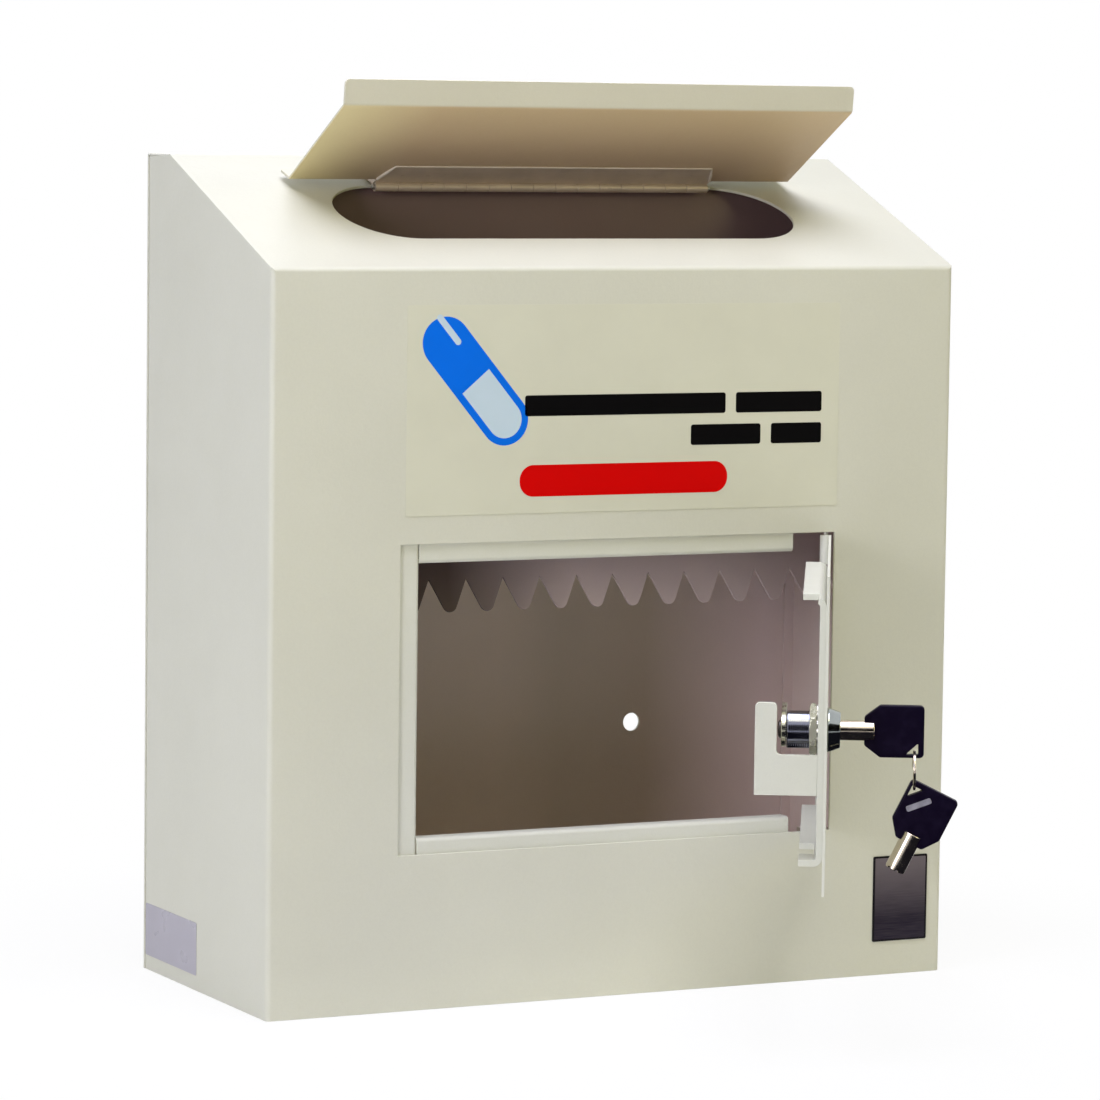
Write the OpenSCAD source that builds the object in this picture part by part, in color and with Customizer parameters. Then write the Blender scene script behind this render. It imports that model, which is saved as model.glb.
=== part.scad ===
// Wall-mounted medicine drop box: folded sheet-steel body, hinged drop flap, lockable collection door.
// Millimetres. X runs along the wall, Y runs back to the wall, Z is up.
// The origin is the middle of the base. Door and flap are drawn open, as the box is shown.

/* [Body] */
// Width across the side panels
body_w = 368; // [360:1:420]
// Height at the wall
body_h = 406; // [396:1:430]
// Depth from the front panel to the wall
body_d = 157.3; // [150:0.1:180]
// Height of the front panel up to the fold of the sloping top
front_h = 354.5; // [345:0.5:365]
// Depth of the level strip of the top, next to the wall
ledge_d = 28.6; // [24:0.1:34]
// Thickness of the body sheet
sheet = 1.5; // [1.2:0.1:1.8]
// Inside radius of the folds
fold_r = 1.2; // [0.8:0.1:1.6]
// Width of the flanges turned in along the back
back_flange = 7; // [5:0.5:12]
// Height of the flanges turned up round the base panel
base_flange = 12; // [8:1:16]

/* [Wall mounting] */
// Spacing of the wall screw holes across the back
mount_dx = 175; // [150:1:250]
// Height of the lower wall screw holes
mount_z = 112; // [100:1:130]
// Spacing of the wall screw holes up the back
mount_dz = 200; // [150:1:250]
// Diameter of the wall screw holes
mount_hole = 9.5; // [6:0.5:10]

/* [Door opening] */
// Left edge of the opening
open_x0 = -116.6; // [-120:0.1:-114]
// Right edge of the opening, at the hinges
open_x1 = 118.8; // [116:0.1:122]
// Bottom edge of the opening
open_z0 = 75.1; // [70:0.1:80]
// Top edge of the opening
open_z1 = 223.6; // [220:0.1:228]
// Width of each jamb strip that shows inside the opening
jamb_show = 9.2; // [8:0.1:10]
// Overlap of each jamb strip behind the front panel
jamb_lap = 7; // [5:0.5:10]
// Gap that the top and bottom strips leave at the hinge side
jamb_gap = 22.5; // [20:0.5:25]
// Depth of the latch strip's leg, which the cam hooks behind
latch_leg = 16.8; // [16:0.1:17]

/* [Door] */
// Angle that the door stands open
door_open = 60.3; // [0:0.1:90]
// Width of the door panel from the hinge axis
door_w = 220.1; // [216:0.1:221]
// Gap round the door panel, top and bottom
door_gap = 1.5; // [1:0.1:2]
// Thickness of the door panel
door_t = 1.2; // [1:0.1:1.2]
// Radius of the hinge knuckles, and depth of the hinge axis behind the face
knuckle_r = 2.8; // [2.7:0.05:3]
// Length of each hinge knuckle
knuckle_len = 14.5; // [10:0.5:20]
// Diameter of the hinge pins
pivot_pin = 2.5; // [2:0.1:2.5]
// Thickness of the backing plate
backing_t = 3; // [2:0.1:3]
// Height of the backing plate over its flanges
backing_h = 123; // [110:1:124]
// Distance from the hinge axis to the near end of the backing plate
backing_x0 = 25; // [12:0.5:30]
// Distance from the hinge axis to the far end of the backing plate
backing_x1 = 204.5; // [203:0.5:208]
// Depth of the backing plate's flanges
backing_flange = 7.9; // [6:0.1:9]

/* [Lock] */
// Distance from the hinge axis to the lock
lock_w = 190; // [188:0.5:191]
// Height of the lock axis
lock_z = 149; // [147:0.5:151]
// Diameter of the lock barrel
barrel_d = 19; // [18:0.5:19]
// Distance across the barrel's two flats, which face up and down
barrel_flats = 16; // [15:0.5:16.5]
// Distance that the barrel reaches behind the door's face
barrel_len = 18.5; // [18.3:0.1:18.7]
// Distance that the lock's head stands proud of the door
head_len = 6; // [5:0.5:8]
// Length of the cam from the lock axis
cam_len = 38; // [34:1:45]
// Width of the cam
cam_w = 16; // [12:1:16]
// Thickness of the cam
cam_t = 2.2; // [1.5:0.1:2.2]
// Size of the lock nut across its flats
nut_af = 21; // [20.5:0.5:22]
// Thickness of the guard plate beside the lock
guard_t = 2.5; // [2:0.1:2.5]
// Height of the guard's foot above the lock axis, negative below it
guard_foot = -10; // [-12:0.5:-9]

/* [Keys] */
// Outside diameter of the key's tube
key_d = 9.4; // [8:0.1:9.4]
// Thickness of the plastic bow
bow_t = 5; // [4:0.5:5.5]
// Half the width of the bow
bow_half = 12; // [11:0.5:13]
// Mean radius of the key ring
ring_r = 8.8; // [8.6:0.1:12]
// Diameter of the ring's wire
ring_wire = 1.8; // [1.4:0.1:1.8]
// Tilt of the hanging spare key from the lock axis
spare_tilt = 64; // [50:1:80]

/* [Drop slot and flap] */
// Length of the oval slot
slot_len = 247; // [230:1:250]
// Width of the oval slot, up the slope
slot_w = 65; // [60:0.5:66]
// Distance from the front fold to the slot's rear edge
slot_rear = 100.2; // [99:0.1:102]
// Angle between the open flap and the slope
flap_open = 50.5; // [0:0.5:55]
// Width of the flap
flap_w = 275.6; // [260:0.2:300]
// Depth of the flap between its folds
flap_plate = 74.5; // [72:0.5:76]
// Thickness of the flap's sheet
flap_t = 1.2; // [1:0.1:1.5]
// Length of the flap's front lip
front_lip = 12.7; // [8:0.1:16]
// Angle that the front lip is turned up
front_lip_a = 53.8; // [40:0.2:60]
// Length of the flap's rear lip
rear_lip = 12.5; // [8:0.1:14]
// Angle that the rear lip is turned up
rear_lip_a = 46.8; // [40:0.2:50]
// Length of the flap's hinge
hinge_len = 184; // [150:1:184]
// Diameter of the hinge barrel
hinge_d = 4.5; // [4:0.1:4.6]
// Thickness of the hinge leaves
leaf_t = 0.9; // [0.8:0.05:1]
// Width of each leaf from the hinge axis
leaf_w = 18; // [12:0.5:20]
// Length clipped off each end of the moving leaf's free edge
leaf_clip = 5; // [0:0.5:8]
// Number of hinge knuckles
hinge_knuckles = 15; // [7:2:21]

/* [Baffle] */
// Angle of the baffle from upright
baffle_tilt = 14.5; // [10:0.5:16]
// Height of the tips of the baffle's teeth
tooth_tip_z = 186; // [182:1:190]
// Spacing of the teeth
tooth_pitch = 20; // [18:0.5:22]
// Depth of the teeth
tooth_depth = 16.5; // [14:0.5:20]
// Radius of each tooth's tip
tooth_r = 3.6; // [2:0.2:4]
// Thickness of the baffle
baffle_t = 1.2; // [1:0.1:1.5]

/* [Labels] */
// Width of the front label
label_w = 234; // [200:1:240]
// Height of the front label
label_h = 100; // [90:1:110]
// Thickness of the label films
film_t = 0.2; // [0.15:0.05:0.3]
// Width of the nameplate
plate_w = 31; // [25:1:40]
// Height of the nameplate
plate_h = 43; // [35:1:50]

/* [Hidden] */
$fn = 64;
eps = 0.05;                                  // cutters pass through faces by this much

cream = "#d8dac2";
front_y = -body_d / 2;
back_y = body_d / 2;
rise = body_h - front_h;
run = body_d - ledge_d;
slope_a = atan2(rise, run);                  // angle of the sloping top
slope_len = sqrt(rise * rise + run * run);
inner_w = body_w - 2 * sheet;
corner_r = fold_r + sheet;                   // outside radius of the body's folds
hood_flange = 12;                            // front flange of the hood, butted to the front panel

pivot_x = open_x1 - 0.7 - knuckle_r;
door_z0 = open_z0 + door_gap;
door_z1 = open_z1 - door_gap;
door_mid = (door_z0 + door_z1) / 2;
running = 0.05;                              // radial play of pins in their bores
pivot_plate_t = 2;
flange_notch = [152, 185];                   // cut-out of the backing's lower flange, from the hinge
flange_end = 185;                            // where the backing's upper flange stops, from the hinge

slot_mid = slot_rear - slot_w / 2;
axis_s = slot_rear - 2.9;                    // hinge axis up the slope, just inside the slot
axis_n = leaf_t / 2;                         // and its height over the slope
flap_up = hinge_d / 2;                       // flap's underside over the hinge axis
flap_back = 3.1;                             // rear fold in front of the hinge axis
lip_corner = 2.4;

baffle_s = axis_s + 6;                       // where the baffle meets the slope
baffle_flange = 12;
baffle_w = inner_w - 2;
baffle_len = (front_h + baffle_s * sin(slope_a) - sheet * cos(slope_a) - tooth_tip_z) / cos(baffle_tilt);
baffle_teeth = floor(baffle_w / tooth_pitch);

shoulder = 1;                                // core's shoulder behind the door's face
core_r = 6;
core_pin_r = 3.62;
key_in_r = 3.7;
key_depth = 3;                               // part of the tube that is in the lock
key_end = 21.8;                              // inner end of the tube, inside the bow
cam_z = barrel_len + 0.3;
tail = 7;                                    // square tail that drives the cam
nut_t = 3.3;
washer_t = 0.6;
clamp_z = door_t + backing_t;
bow_z0 = 16.9;
bow_z1 = 44.2;
bow_neck = 6.6;
key_hole = [-7.6, 38.7];                     // middle of the bow's hole: across, along the key
hang = key_hole + [-1.35, 1.35];             // where the ring's wire passes through the hole

guard_in = 28.6;                             // reach of the guard behind the backing
guard_arm = 10;
guard_top = 13.8;                            // top of the arm above the lock axis
guard_low = 28.7;                            // bottom of the foot below the lock axis

// ---- helpers ----

function dir(a, b) = (b - a) / norm(b - a);
function left(d) = [-d[1], d[0]];
function turn(d, e) = atan2(d[0] * e[1] - d[1] * e[0], d * e);
function turned(v, a) = [v[0] * cos(a) - v[1] * sin(a), v[0] * sin(a) + v[1] * cos(a)];

// Round of the fold from direction d to direction e, in flats of 9 degrees or less.
// face is true for the drawn face of the sheet and false for its other face.
function fold(at, d, e, t, r, face) =
    let (a = turn(d, e), side = sign(a), face_r = side > 0 ? r + t : r,
        radius = face ? face_r : 2 * r + t - face_r,
        middle = at - face_r * tan(abs(a) / 2) * d + side * face_r * left(d),
        flats = ceil(abs(a) / 9))
    [for (k = [0 : flats]) middle - side * radius * turned(left(d), a * k / flats)];

// One face of a folded sheet, from its first edge to its last
function side_line(p, t, r, face) =
    let (last = len(p) - 1, shift = face ? 0 : t)
    [p[0] + shift * left(dir(p[0], p[1])),
        each [for (i = [1 : last - 1])
            each fold(p[i], dir(p[i - 1], p[i]), dir(p[i], p[i + 1]), t, r, face)],
        p[last] + shift * left(dir(p[last - 1], p[last]))];

// Section of a folded sheet. p is one face of the sheet, which lies to the left of p.
module folded(p, t, r) {
    back = side_line(p, t, r, false);
    polygon([each side_line(p, t, r, true), for (i = [len(back) - 1 : -1 : 0]) back[i]]);
}

// Carries a section drawn in Y and Z along X
module along_x(x0, x1) {
    translate([x0, 0, 0]) rotate([90, 0, 90]) linear_extrude(x1 - x0) children();
}

module rounded(w, h, r) {
    translate([r, 0]) square([w - 2 * r, h]);
    translate([0, r]) square([w, h - 2 * r]);
    for (x = [r, w - r], y = [r, h - r])
        translate([x, y]) circle(r);
}

module tube(r_out, r_in, z0, z1) {
    translate([0, 0, z0]) difference() {
        cylinder(r = r_out, h = z1 - z0);
        translate([0, 0, -eps]) cylinder(r = r_in, h = z1 - z0 + 2 * eps);
    }
}

// ---- frames of the moving groups ----

// Slope of the top: X across, Y up the slope from the front fold, Z off its face
module on_slope() {
    translate([0, front_y, front_h]) rotate([slope_a, 0, 0]) children();
}

// Flap: Y back from its rear fold, Z off its underside, turned about the hinge axis
module on_flap() {
    on_slope() translate([0, axis_s, axis_n]) rotate([-flap_open, 0, 0])
        translate([0, -flap_back, flap_up]) children();
}

// Door: hinge axis at the origin, X from the free edge to the hinge, Y into the box when shut
module on_door() {
    translate([pivot_x, front_y + knuckle_r, 0]) rotate([0, 0, door_open]) children();
}

// Lock: Z out of the door's face along the lock axis, Y up, X towards the hinge
module on_lock() {
    on_door() translate([-lock_w, -knuckle_r, lock_z]) rotate([90, 0, 0]) children();
}

// Spare key: hangs by its bow's hole from the bottom of the ring
module on_spare() {
    on_lock() translate([0, hang[0] - 2 * ring_r, hang[1]])
        rotate([-spare_tilt, 0, 0]) rotate([0, 0, 180])
            translate([0, -hang[0], -hang[1]]) children();
}

// ---- body ----

// Outline of the body seen from above, rounded like the folds of the front
module body_plan() {
    translate([-body_w / 2, front_y]) {
        translate([corner_r, 0]) square([body_w - 2 * corner_r, body_d]);
        translate([0, corner_r]) square([body_w, body_d - corner_r]);
        for (x = [corner_r, body_w - corner_r])
            translate([x, corner_r]) circle(corner_r);
    }
}

// Space under the hood, seen from the side
module under_hood() {
    top = body_h - sheet;
    drop = sheet / cos(slope_a);
    turn_y = front_y + run + sheet * tan(slope_a / 2);
    polygon([
        [front_y - 1, -1], [back_y + 1, -1], [back_y + 1, top], [turn_y, top],
        [front_y - 1, front_h - drop - tan(slope_a)]
    ]);
}

module door_hole() {
    translate([open_x0, front_y - 1, open_z0])
        cube([open_x1 - open_x0, sheet + 2, open_z1 - open_z0]);
}

module body_wrap() {
    x = body_w / 2;
    y = back_y - sheet;
    color(cream) difference() {
        intersection() {
            linear_extrude(body_h) folded([[back_flange - x, y], [-x, y], [-x, front_y],
                [x, front_y], [x, y], [x - back_flange, y]], sheet, fold_r);
            along_x(-body_w, body_w) under_hood();
        }
        door_hole();
        translate([-body_w, front_y - 1, front_h - hood_flange])
            cube([2 * body_w, sheet + 1, hood_flange]);
    }
}

// Oval slot, as a cutter through the slope
module slot() {
    half = slot_len / 2 - slot_w / 2;
    on_slope() translate([0, slot_mid, -4 * sheet]) {
        for (x = [-half, half])
            translate([x, 0, 0]) cylinder(r = slot_w / 2, h = 8 * sheet, $fn = 128);
        translate([-half, -slot_w / 2, 0]) cube([2 * half, slot_w, 8 * sheet]);
    }
}

module top_hood() {
    color(cream) difference() {
        intersection() {
            along_x(-body_w / 2, body_w / 2) folded([[back_y, body_h], [front_y + run, body_h],
                [front_y, front_h], [front_y, front_h - hood_flange]], sheet, fold_r);
            linear_extrude(body_h + 1) body_plan();
        }
        slot();
    }
}

module back_panel() {
    color(cream) difference() {
        translate([-body_w / 2, back_y - sheet, 0]) cube([body_w, sheet, body_h - sheet]);
        for (x = [-1, 1], z = [0, 1])
            translate([x * mount_dx / 2, back_y + 1, mount_z + z * mount_dz])
                rotate([90, 0, 0]) cylinder(d = mount_hole, h = sheet + 2);
    }
}

module base_panel() {
    x = inner_w / 2;
    y0 = front_y + sheet;
    y1 = back_y - 2 * sheet;
    c = fold_r;                              // corners cut to clear the folds of the body
    color(cream) intersection() {
        along_x(-x, x)
            folded([[y0, base_flange], [y0, 0], [y1, 0], [y1, base_flange]], sheet, fold_r);
        translate([0, 0, -1]) linear_extrude(base_flange + 2)
            polygon([[c - x, y0], [x - c, y0], [x, y0 + c], [x, y1 - c],
                [x - c, y1], [c - x, y1], [-x, y1 - c], [-x, y0 + c]]);
    }
}

// One tooth, hanging from the origin: straight flanks that run into a round tip
module tooth() {
    drop = tooth_depth - tooth_r;
    reach = norm([tooth_pitch / 2, drop]);
    flank = atan2(drop, tooth_pitch / 2) + asin(tooth_r / reach);
    side = sqrt(reach * reach - tooth_r * tooth_r);
    tx = tooth_pitch / 2 - side * cos(flank);
    tz = -side * sin(flank);
    polygon([[-tooth_pitch / 2, 0], [-tx, tz], [0, -drop], [tx, tz], [tooth_pitch / 2, 0]]);
    translate([0, -drop]) circle(tooth_r);
}

module throat_baffle() {
    plain = baffle_len - tooth_depth;
    first = -(baffle_teeth - 1) / 2 * tooth_pitch;
    color(cream) {
        on_slope() translate([0, baffle_s, -sheet - baffle_t]) {
            translate([-baffle_w / 2, 0, 0]) cube([baffle_w, baffle_flange, baffle_t]);
            rotate([-slope_a - baffle_tilt, 0, 0]) rotate([90, 0, 0]) translate([0, 0, -baffle_t])
                linear_extrude(baffle_t) {
                    translate([-baffle_w / 2, -plain]) square([baffle_w, plain + baffle_t / 2]);
                    for (i = [0 : baffle_teeth - 1])
                        translate([first + i * tooth_pitch, -plain]) tooth();
                }
        }
    }
}

// ---- door frame ----

// The latch strip turns back into a leg, and the cam hooks behind its end
module latch_jamb() {
    x = open_x0 + jamb_show + 1.3;
    y = front_y + sheet;
    z0 = open_z0 - jamb_lap;
    color(cream) translate([0, 0, z0]) linear_extrude(open_z1 + jamb_lap - z0)
        folded([[open_x0 - jamb_lap, y], [x, y], [x, y + latch_leg]], sheet, 0.6);
}

// Strip across the opening: z_edge is its free edge, up is 1 for the top strip and -1 for the bottom
module cross_jamb(z_edge, up) {
    x0 = open_x0 + jamb_show + 1.3;          // meets the latch strip's leg
    y = front_y + sheet;
    leg = 8;
    z_far = z_edge + up * (jamb_show + jamb_lap);
    face = [[y + leg, z_edge], [y, z_edge], [y, z_far]];
    color(cream) along_x(x0, open_x1 - jamb_gap)
        folded(up > 0 ? [face[2], face[1], face[0]] : face, sheet, 0.6);
}

module top_jamb() {
    cross_jamb(open_z1 - jamb_show, 1);
}

module bottom_jamb() {
    cross_jamb(open_z0 + jamb_show - 1.5, -1);
}

// Plate behind the front panel that holds a hinge pin
module pivot_plate(z) {
    color(cream) translate([pivot_x, front_y + sheet, z]) difference() {
        translate([-7, 0, 0]) cube([14, 13, pivot_plate_t]);
        translate([0, knuckle_r - sheet, -1]) cylinder(d = pivot_pin, h = pivot_plate_t + 2);
    }
}

module upper_pivot_plate() {
    pivot_plate(open_z1);
}

module lower_pivot_plate() {
    pivot_plate(open_z0 - pivot_plate_t);
}

module pivot_pin_at(z) {
    color("silver") translate([pivot_x, front_y + knuckle_r, z])
        cylinder(d = pivot_pin, h = pivot_plate_t + door_gap + knuckle_len - 1);
}

module upper_pivot_pin() {
    pivot_pin_at(door_z1 - knuckle_len + 1);
}

module lower_pivot_pin() {
    pivot_pin_at(open_z0 - pivot_plate_t);
}

// ---- drop flap ----

// Section of the flap: the underside runs forward from the rear fold, with both lips turned up
module flap_section() {
    rear = rear_lip * [cos(rear_lip_a), sin(rear_lip_a)];
    front = [-flap_plate, 0] + front_lip * [-cos(front_lip_a), sin(front_lip_a)];
    folded([front, [-flap_plate, 0], [0, 0], rear], flap_t, fold_r);
}

// Cutters that round the corners of a lip, which lies along Y, in three flats
module lip_corners(lip) {
    r = lip_corner;
    tail = sin(30) / (1 - cos(30));
    for (side = [0, 1])
        mirror([side, 0, 0]) translate([flap_w / 2 - r, lip - r, -3]) linear_extrude(6)
            polygon([[r + 1, -tail], r * [cos(30), sin(30)], r * [sin(30), cos(30)],
                [-tail, r + 1], [r + 1, r + 1]]);
}

module flap_panel() {
    color(cream) on_flap() difference() {
        along_x(-flap_w / 2, flap_w / 2) flap_section();
        translate([0, -flap_plate, 0]) rotate([180 - front_lip_a, 0, 0]) lip_corners(front_lip);
        rotate([rear_lip_a, 0, 0]) lip_corners(rear_lip);
    }
}

// Hinge barrel knuckles about the X axis: every second one, starting at the given one
module hinge_barrel(start, play) {
    pitch = hinge_len / hinge_knuckles;
    for (i = [start : 2 : hinge_knuckles - 1])
        translate([-hinge_len / 2 + i * pitch + 0.1, 0, 0]) rotate([0, 90, 0])
            tube(hinge_d / 2, hinge_d / 4 + play, 0, pitch - 0.2);
}

// Clears the other leaf's knuckles out of a leaf
module barrel_gaps(start) {
    pitch = hinge_len / hinge_knuckles;
    for (i = [start : 2 : hinge_knuckles - 1])
        translate([-hinge_len / 2 + i * pitch - 0.1, 0, 0]) rotate([0, 90, 0])
            cylinder(d = hinge_d + 0.6, h = pitch + 0.2);
    translate([-hinge_len / 2 - 1, 0, 0]) rotate([0, 90, 0])
        cylinder(d = hinge_d / 2 + 2 * running, h = hinge_len + 2);
}

module flap_hinge_fixed_leaf() {
    color("silver") on_slope() translate([0, axis_s, axis_n]) {
        hinge_barrel(0, 0);
        difference() {
            translate([-hinge_len / 2, hinge_d / 4 + 0.4, -leaf_t / 2])
                cube([hinge_len, leaf_w - hinge_d / 4 - 0.4, leaf_t]);
            barrel_gaps(1);
        }
    }
}

module flap_hinge_moving_leaf() {
    color("silver") on_slope() translate([0, axis_s, axis_n]) rotate([-flap_open, 0, 0]) {
        hinge_barrel(1, running);
        difference() {
            translate([0, 0, flap_up - leaf_t]) linear_extrude(leaf_t) {
                half = hinge_len / 2;
                polygon([[-half, 0], [-half, -6], [leaf_clip - half, -leaf_w],
                    [half - leaf_clip, -leaf_w], [half, -6], [half, 0]]);
            }
            barrel_gaps(0);
        }
    }
}

module flap_hinge_pin() {
    color("silver") on_slope() translate([-hinge_len / 2, axis_s, axis_n]) rotate([0, 90, 0])
        cylinder(d = hinge_d / 2, h = hinge_len);
}

// ---- door ----

// Hole for the lock barrel, with its two flats
module barrel_hole(z0, z1) {
    intersection() {
        translate([0, 0, z0]) cylinder(d = barrel_d + 2 * running, h = z1 - z0);
        translate([-barrel_d, -barrel_flats / 2 - running, z0])
            cube([2 * barrel_d, barrel_flats + 2 * running, z1 - z0]);
    }
}

module door_panel() {
    h = door_z1 - door_z0;
    color(cream) difference() {
        on_door() {
            difference() {
                translate([-door_w, -knuckle_r, door_z0]) cube([door_w, door_t, h]);
                translate([0, 0, door_z0 - 1]) cylinder(r = pivot_pin / 2 + running, h = h + 2);
            }
            for (z = [door_z0, door_z1 - knuckle_len])
                tube(knuckle_r, pivot_pin / 2 + running, z, z + knuckle_len);
        }
        on_lock() barrel_hole(-door_t - 1, 1);
    }
}

module door_backing() {
    y0 = door_t - knuckle_r;
    y1 = y0 + backing_t + backing_flange;
    z0 = door_mid - backing_h / 2;
    z1 = door_mid + backing_h / 2;
    color(cream) difference() {
        on_door() difference() {
            along_x(-backing_x1, -backing_x0)
                folded([[y1, z1], [y0, z1], [y0, z0], [y1, z0]], backing_t, fold_r);
            translate([-flange_notch[1], y0 + backing_t, z0 - 1])
                cube([flange_notch[1] - flange_notch[0], backing_flange + 1, 2 * backing_t]);
            translate([-backing_x1 - 1, y0 + backing_t, z1 - 2 * backing_t])
                cube([backing_x1 - flange_end + 1, backing_flange + 1, 2 * backing_t + 1]);
        }
        on_lock() barrel_hole(-clamp_z - 1, 0);
    }
}

// Upright plate between the lock and the free edge. The cam swings into its notch to lock.
module lock_guard() {
    y0 = clamp_z - knuckle_r;
    foot_z = lock_z - guard_low;
    foot_h = guard_low + guard_foot;
    color(cream) on_door() along_x(-backing_x1, guard_t - backing_x1) {
        translate([y0, foot_z]) square([guard_in, foot_h]);
        translate([y0 + guard_in - guard_arm, foot_z + 1])
            rounded(guard_arm, guard_low + guard_top - 1, 2.2);
    }
}

// ---- lock ----

module lock_housing() {
    color("silver") on_lock() difference() {
        union() {
            cylinder(d1 = 20.4, d2 = 16.4, h = head_len);
            intersection() {
                translate([0, 0, -barrel_len]) cylinder(d = barrel_d, h = barrel_len + 1);
                translate([-barrel_d, -barrel_flats / 2, -barrel_len])
                    cube([2 * barrel_d, barrel_flats, barrel_len + 1]);
            }
        }
        translate([0, 0, -shoulder]) cylinder(r = key_d / 2 + 0.08, h = head_len + 2);
        translate([0, 0, -barrel_len - 1]) cylinder(r = core_r + running, h = barrel_len + 1 - shoulder);
    }
}

module lock_washer() {
    color("silver") on_lock()
        tube(11.4, barrel_d / 2 + running, -clamp_z - washer_t, -clamp_z);
}

module lock_nut() {
    top = -clamp_z - washer_t;
    color("silver") on_lock() difference() {
        translate([0, 0, top - nut_t]) rotate([0, 0, 30])
            cylinder(d = nut_af / cos(30), h = nut_t, $fn = 6);
        translate([0, 0, top - nut_t - 1]) cylinder(r = barrel_d / 2 + running, h = nut_t + 2);
    }
}

module lock_core() {
    color("dimgray") on_lock() difference() {
        union() {
            translate([0, 0, -barrel_len]) cylinder(r = core_r, h = barrel_len - shoulder);
            translate([0, 0, -shoulder - 1]) cylinder(r = core_pin_r, h = head_len + shoulder);
            translate([-tail / 2, -tail / 2, -cam_z - cam_t]) cube([tail, tail, cam_t + 2]);
        }
        translate([0, 0, -cam_z - cam_t - 1]) cylinder(r = 2 + running, h = 9);
    }
}

module lock_cam() {
    color("gray") on_lock() translate([0, 0, -cam_z - cam_t]) linear_extrude(cam_t) difference() {
        union() {
            circle(cam_w / 2);
            square([cam_len / 2, cam_w / 2]);
            translate([0, -cam_w / 2]) rounded(cam_len, cam_w, 3);
        }
        square(tail + 4 * running, center = true);
    }
}

module cam_screw() {
    color("dimgray") on_lock() {
        translate([0, 0, -cam_z - cam_t - 1.7]) cylinder(d = 8.4, h = 1.7);
        translate([0, 0, -cam_z - cam_t - eps]) cylinder(r = 2, h = 7);
    }
}

// ---- keys ----

// Tubular key's shank, open at the end that goes into the lock, with its row of end cuts
module shank() {
    color("silver") difference() {
        translate([0, 0, head_len - key_depth]) cylinder(d = key_d, h = key_end - head_len + key_depth);
        translate([0, 0, head_len - key_depth - 1]) cylinder(r = key_in_r, h = 15);
        for (a = [0 : 360 / 7 : 359])
            translate([0, 0, head_len - key_depth]) rotate([0, 90, a + 12])
                cylinder(r = 0.8, h = key_d, $fn = 24);
    }
}

// Bow outline, Y across and Z along the key: shoulders by the shank, square at the far end
module bow() {
    hole = 2.9;
    outline = [
        [-bow_neck, bow_z0], [bow_neck, bow_z0], [bow_half - 0.6, bow_z0 + 6.5],
        [bow_half, bow_z0 + 8], [bow_half, bow_z1 - 2], [bow_half - 2, bow_z1],
        [2 - bow_half, bow_z1], [-bow_half, bow_z1 - 2], [-bow_half, bow_z0 + 8],
        [0.6 - bow_half, bow_z0 + 6.5]
    ];
    color("#15131a") difference() {
        along_x(-bow_t / 2, bow_t / 2) difference() {
            polygon(outline);
            translate(key_hole) polygon([[-hole, hole], [-hole, -hole], [hole - 0.4, hole]]);
        }
        translate([0, 0, bow_z0 - 1]) cylinder(d = key_d, h = key_end - bow_z0 + 1);
    }
}

module key_tube() {
    on_lock() shank();
}

module key_bow() {
    on_lock() bow();
}

module key_ring() {
    color("silver") on_lock() translate([0, hang[0] - ring_r, hang[1]])
        rotate_extrude() translate([ring_r, 0]) circle(d = ring_wire, $fn = 24);
}

module spare_key_tube() {
    on_spare() shank();
}

module spare_key_bow() {
    on_spare() bow();
}

// ---- labels ----

module front_label() {
    color("#c9cbb4") translate([2.5 - label_w / 2, front_y - film_t, 237]) cube([label_w, film_t, label_h]);
}

module nameplate() {
    thick = 0.6;
    color("#5a5a5e") translate([159.8 - plate_w / 2, front_y - thick, 17])
        cube([plate_w, thick, plate_h]);
}

module side_label() {
    color("#b4b6ba") translate([-body_w / 2 - film_t, front_y + 87.4, 7.5]) cube([film_t, 66.9, 26]);
}

body_wrap();
top_hood();
back_panel();
base_panel();
throat_baffle();
latch_jamb();
top_jamb();
bottom_jamb();
upper_pivot_plate();
lower_pivot_plate();
upper_pivot_pin();
lower_pivot_pin();
flap_panel();
flap_hinge_fixed_leaf();
flap_hinge_moving_leaf();
flap_hinge_pin();
door_panel();
door_backing();
lock_guard();
lock_housing();
lock_washer();
lock_nut();
lock_core();
lock_cam();
cam_screw();
key_tube();
key_bow();
key_ring();
spare_key_tube();
spare_key_bow();
front_label();
nameplate();
side_label();
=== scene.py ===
import math

import bmesh
import bpy
import numpy as np
from mathutils import Matrix, Vector


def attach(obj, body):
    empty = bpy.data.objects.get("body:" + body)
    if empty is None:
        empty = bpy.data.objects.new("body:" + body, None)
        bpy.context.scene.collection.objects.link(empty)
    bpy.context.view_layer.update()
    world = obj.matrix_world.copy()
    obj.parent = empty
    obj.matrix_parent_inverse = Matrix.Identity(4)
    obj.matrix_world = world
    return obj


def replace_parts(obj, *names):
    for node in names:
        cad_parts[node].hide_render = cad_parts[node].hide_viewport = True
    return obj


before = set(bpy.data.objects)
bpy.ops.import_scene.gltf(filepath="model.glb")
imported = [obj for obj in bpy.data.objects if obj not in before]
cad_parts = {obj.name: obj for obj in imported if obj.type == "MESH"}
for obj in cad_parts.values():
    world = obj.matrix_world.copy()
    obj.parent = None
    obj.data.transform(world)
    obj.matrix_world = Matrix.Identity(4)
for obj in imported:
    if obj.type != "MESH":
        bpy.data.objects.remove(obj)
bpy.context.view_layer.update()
mm = 0.001

# Measures shared by several pieces

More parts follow.
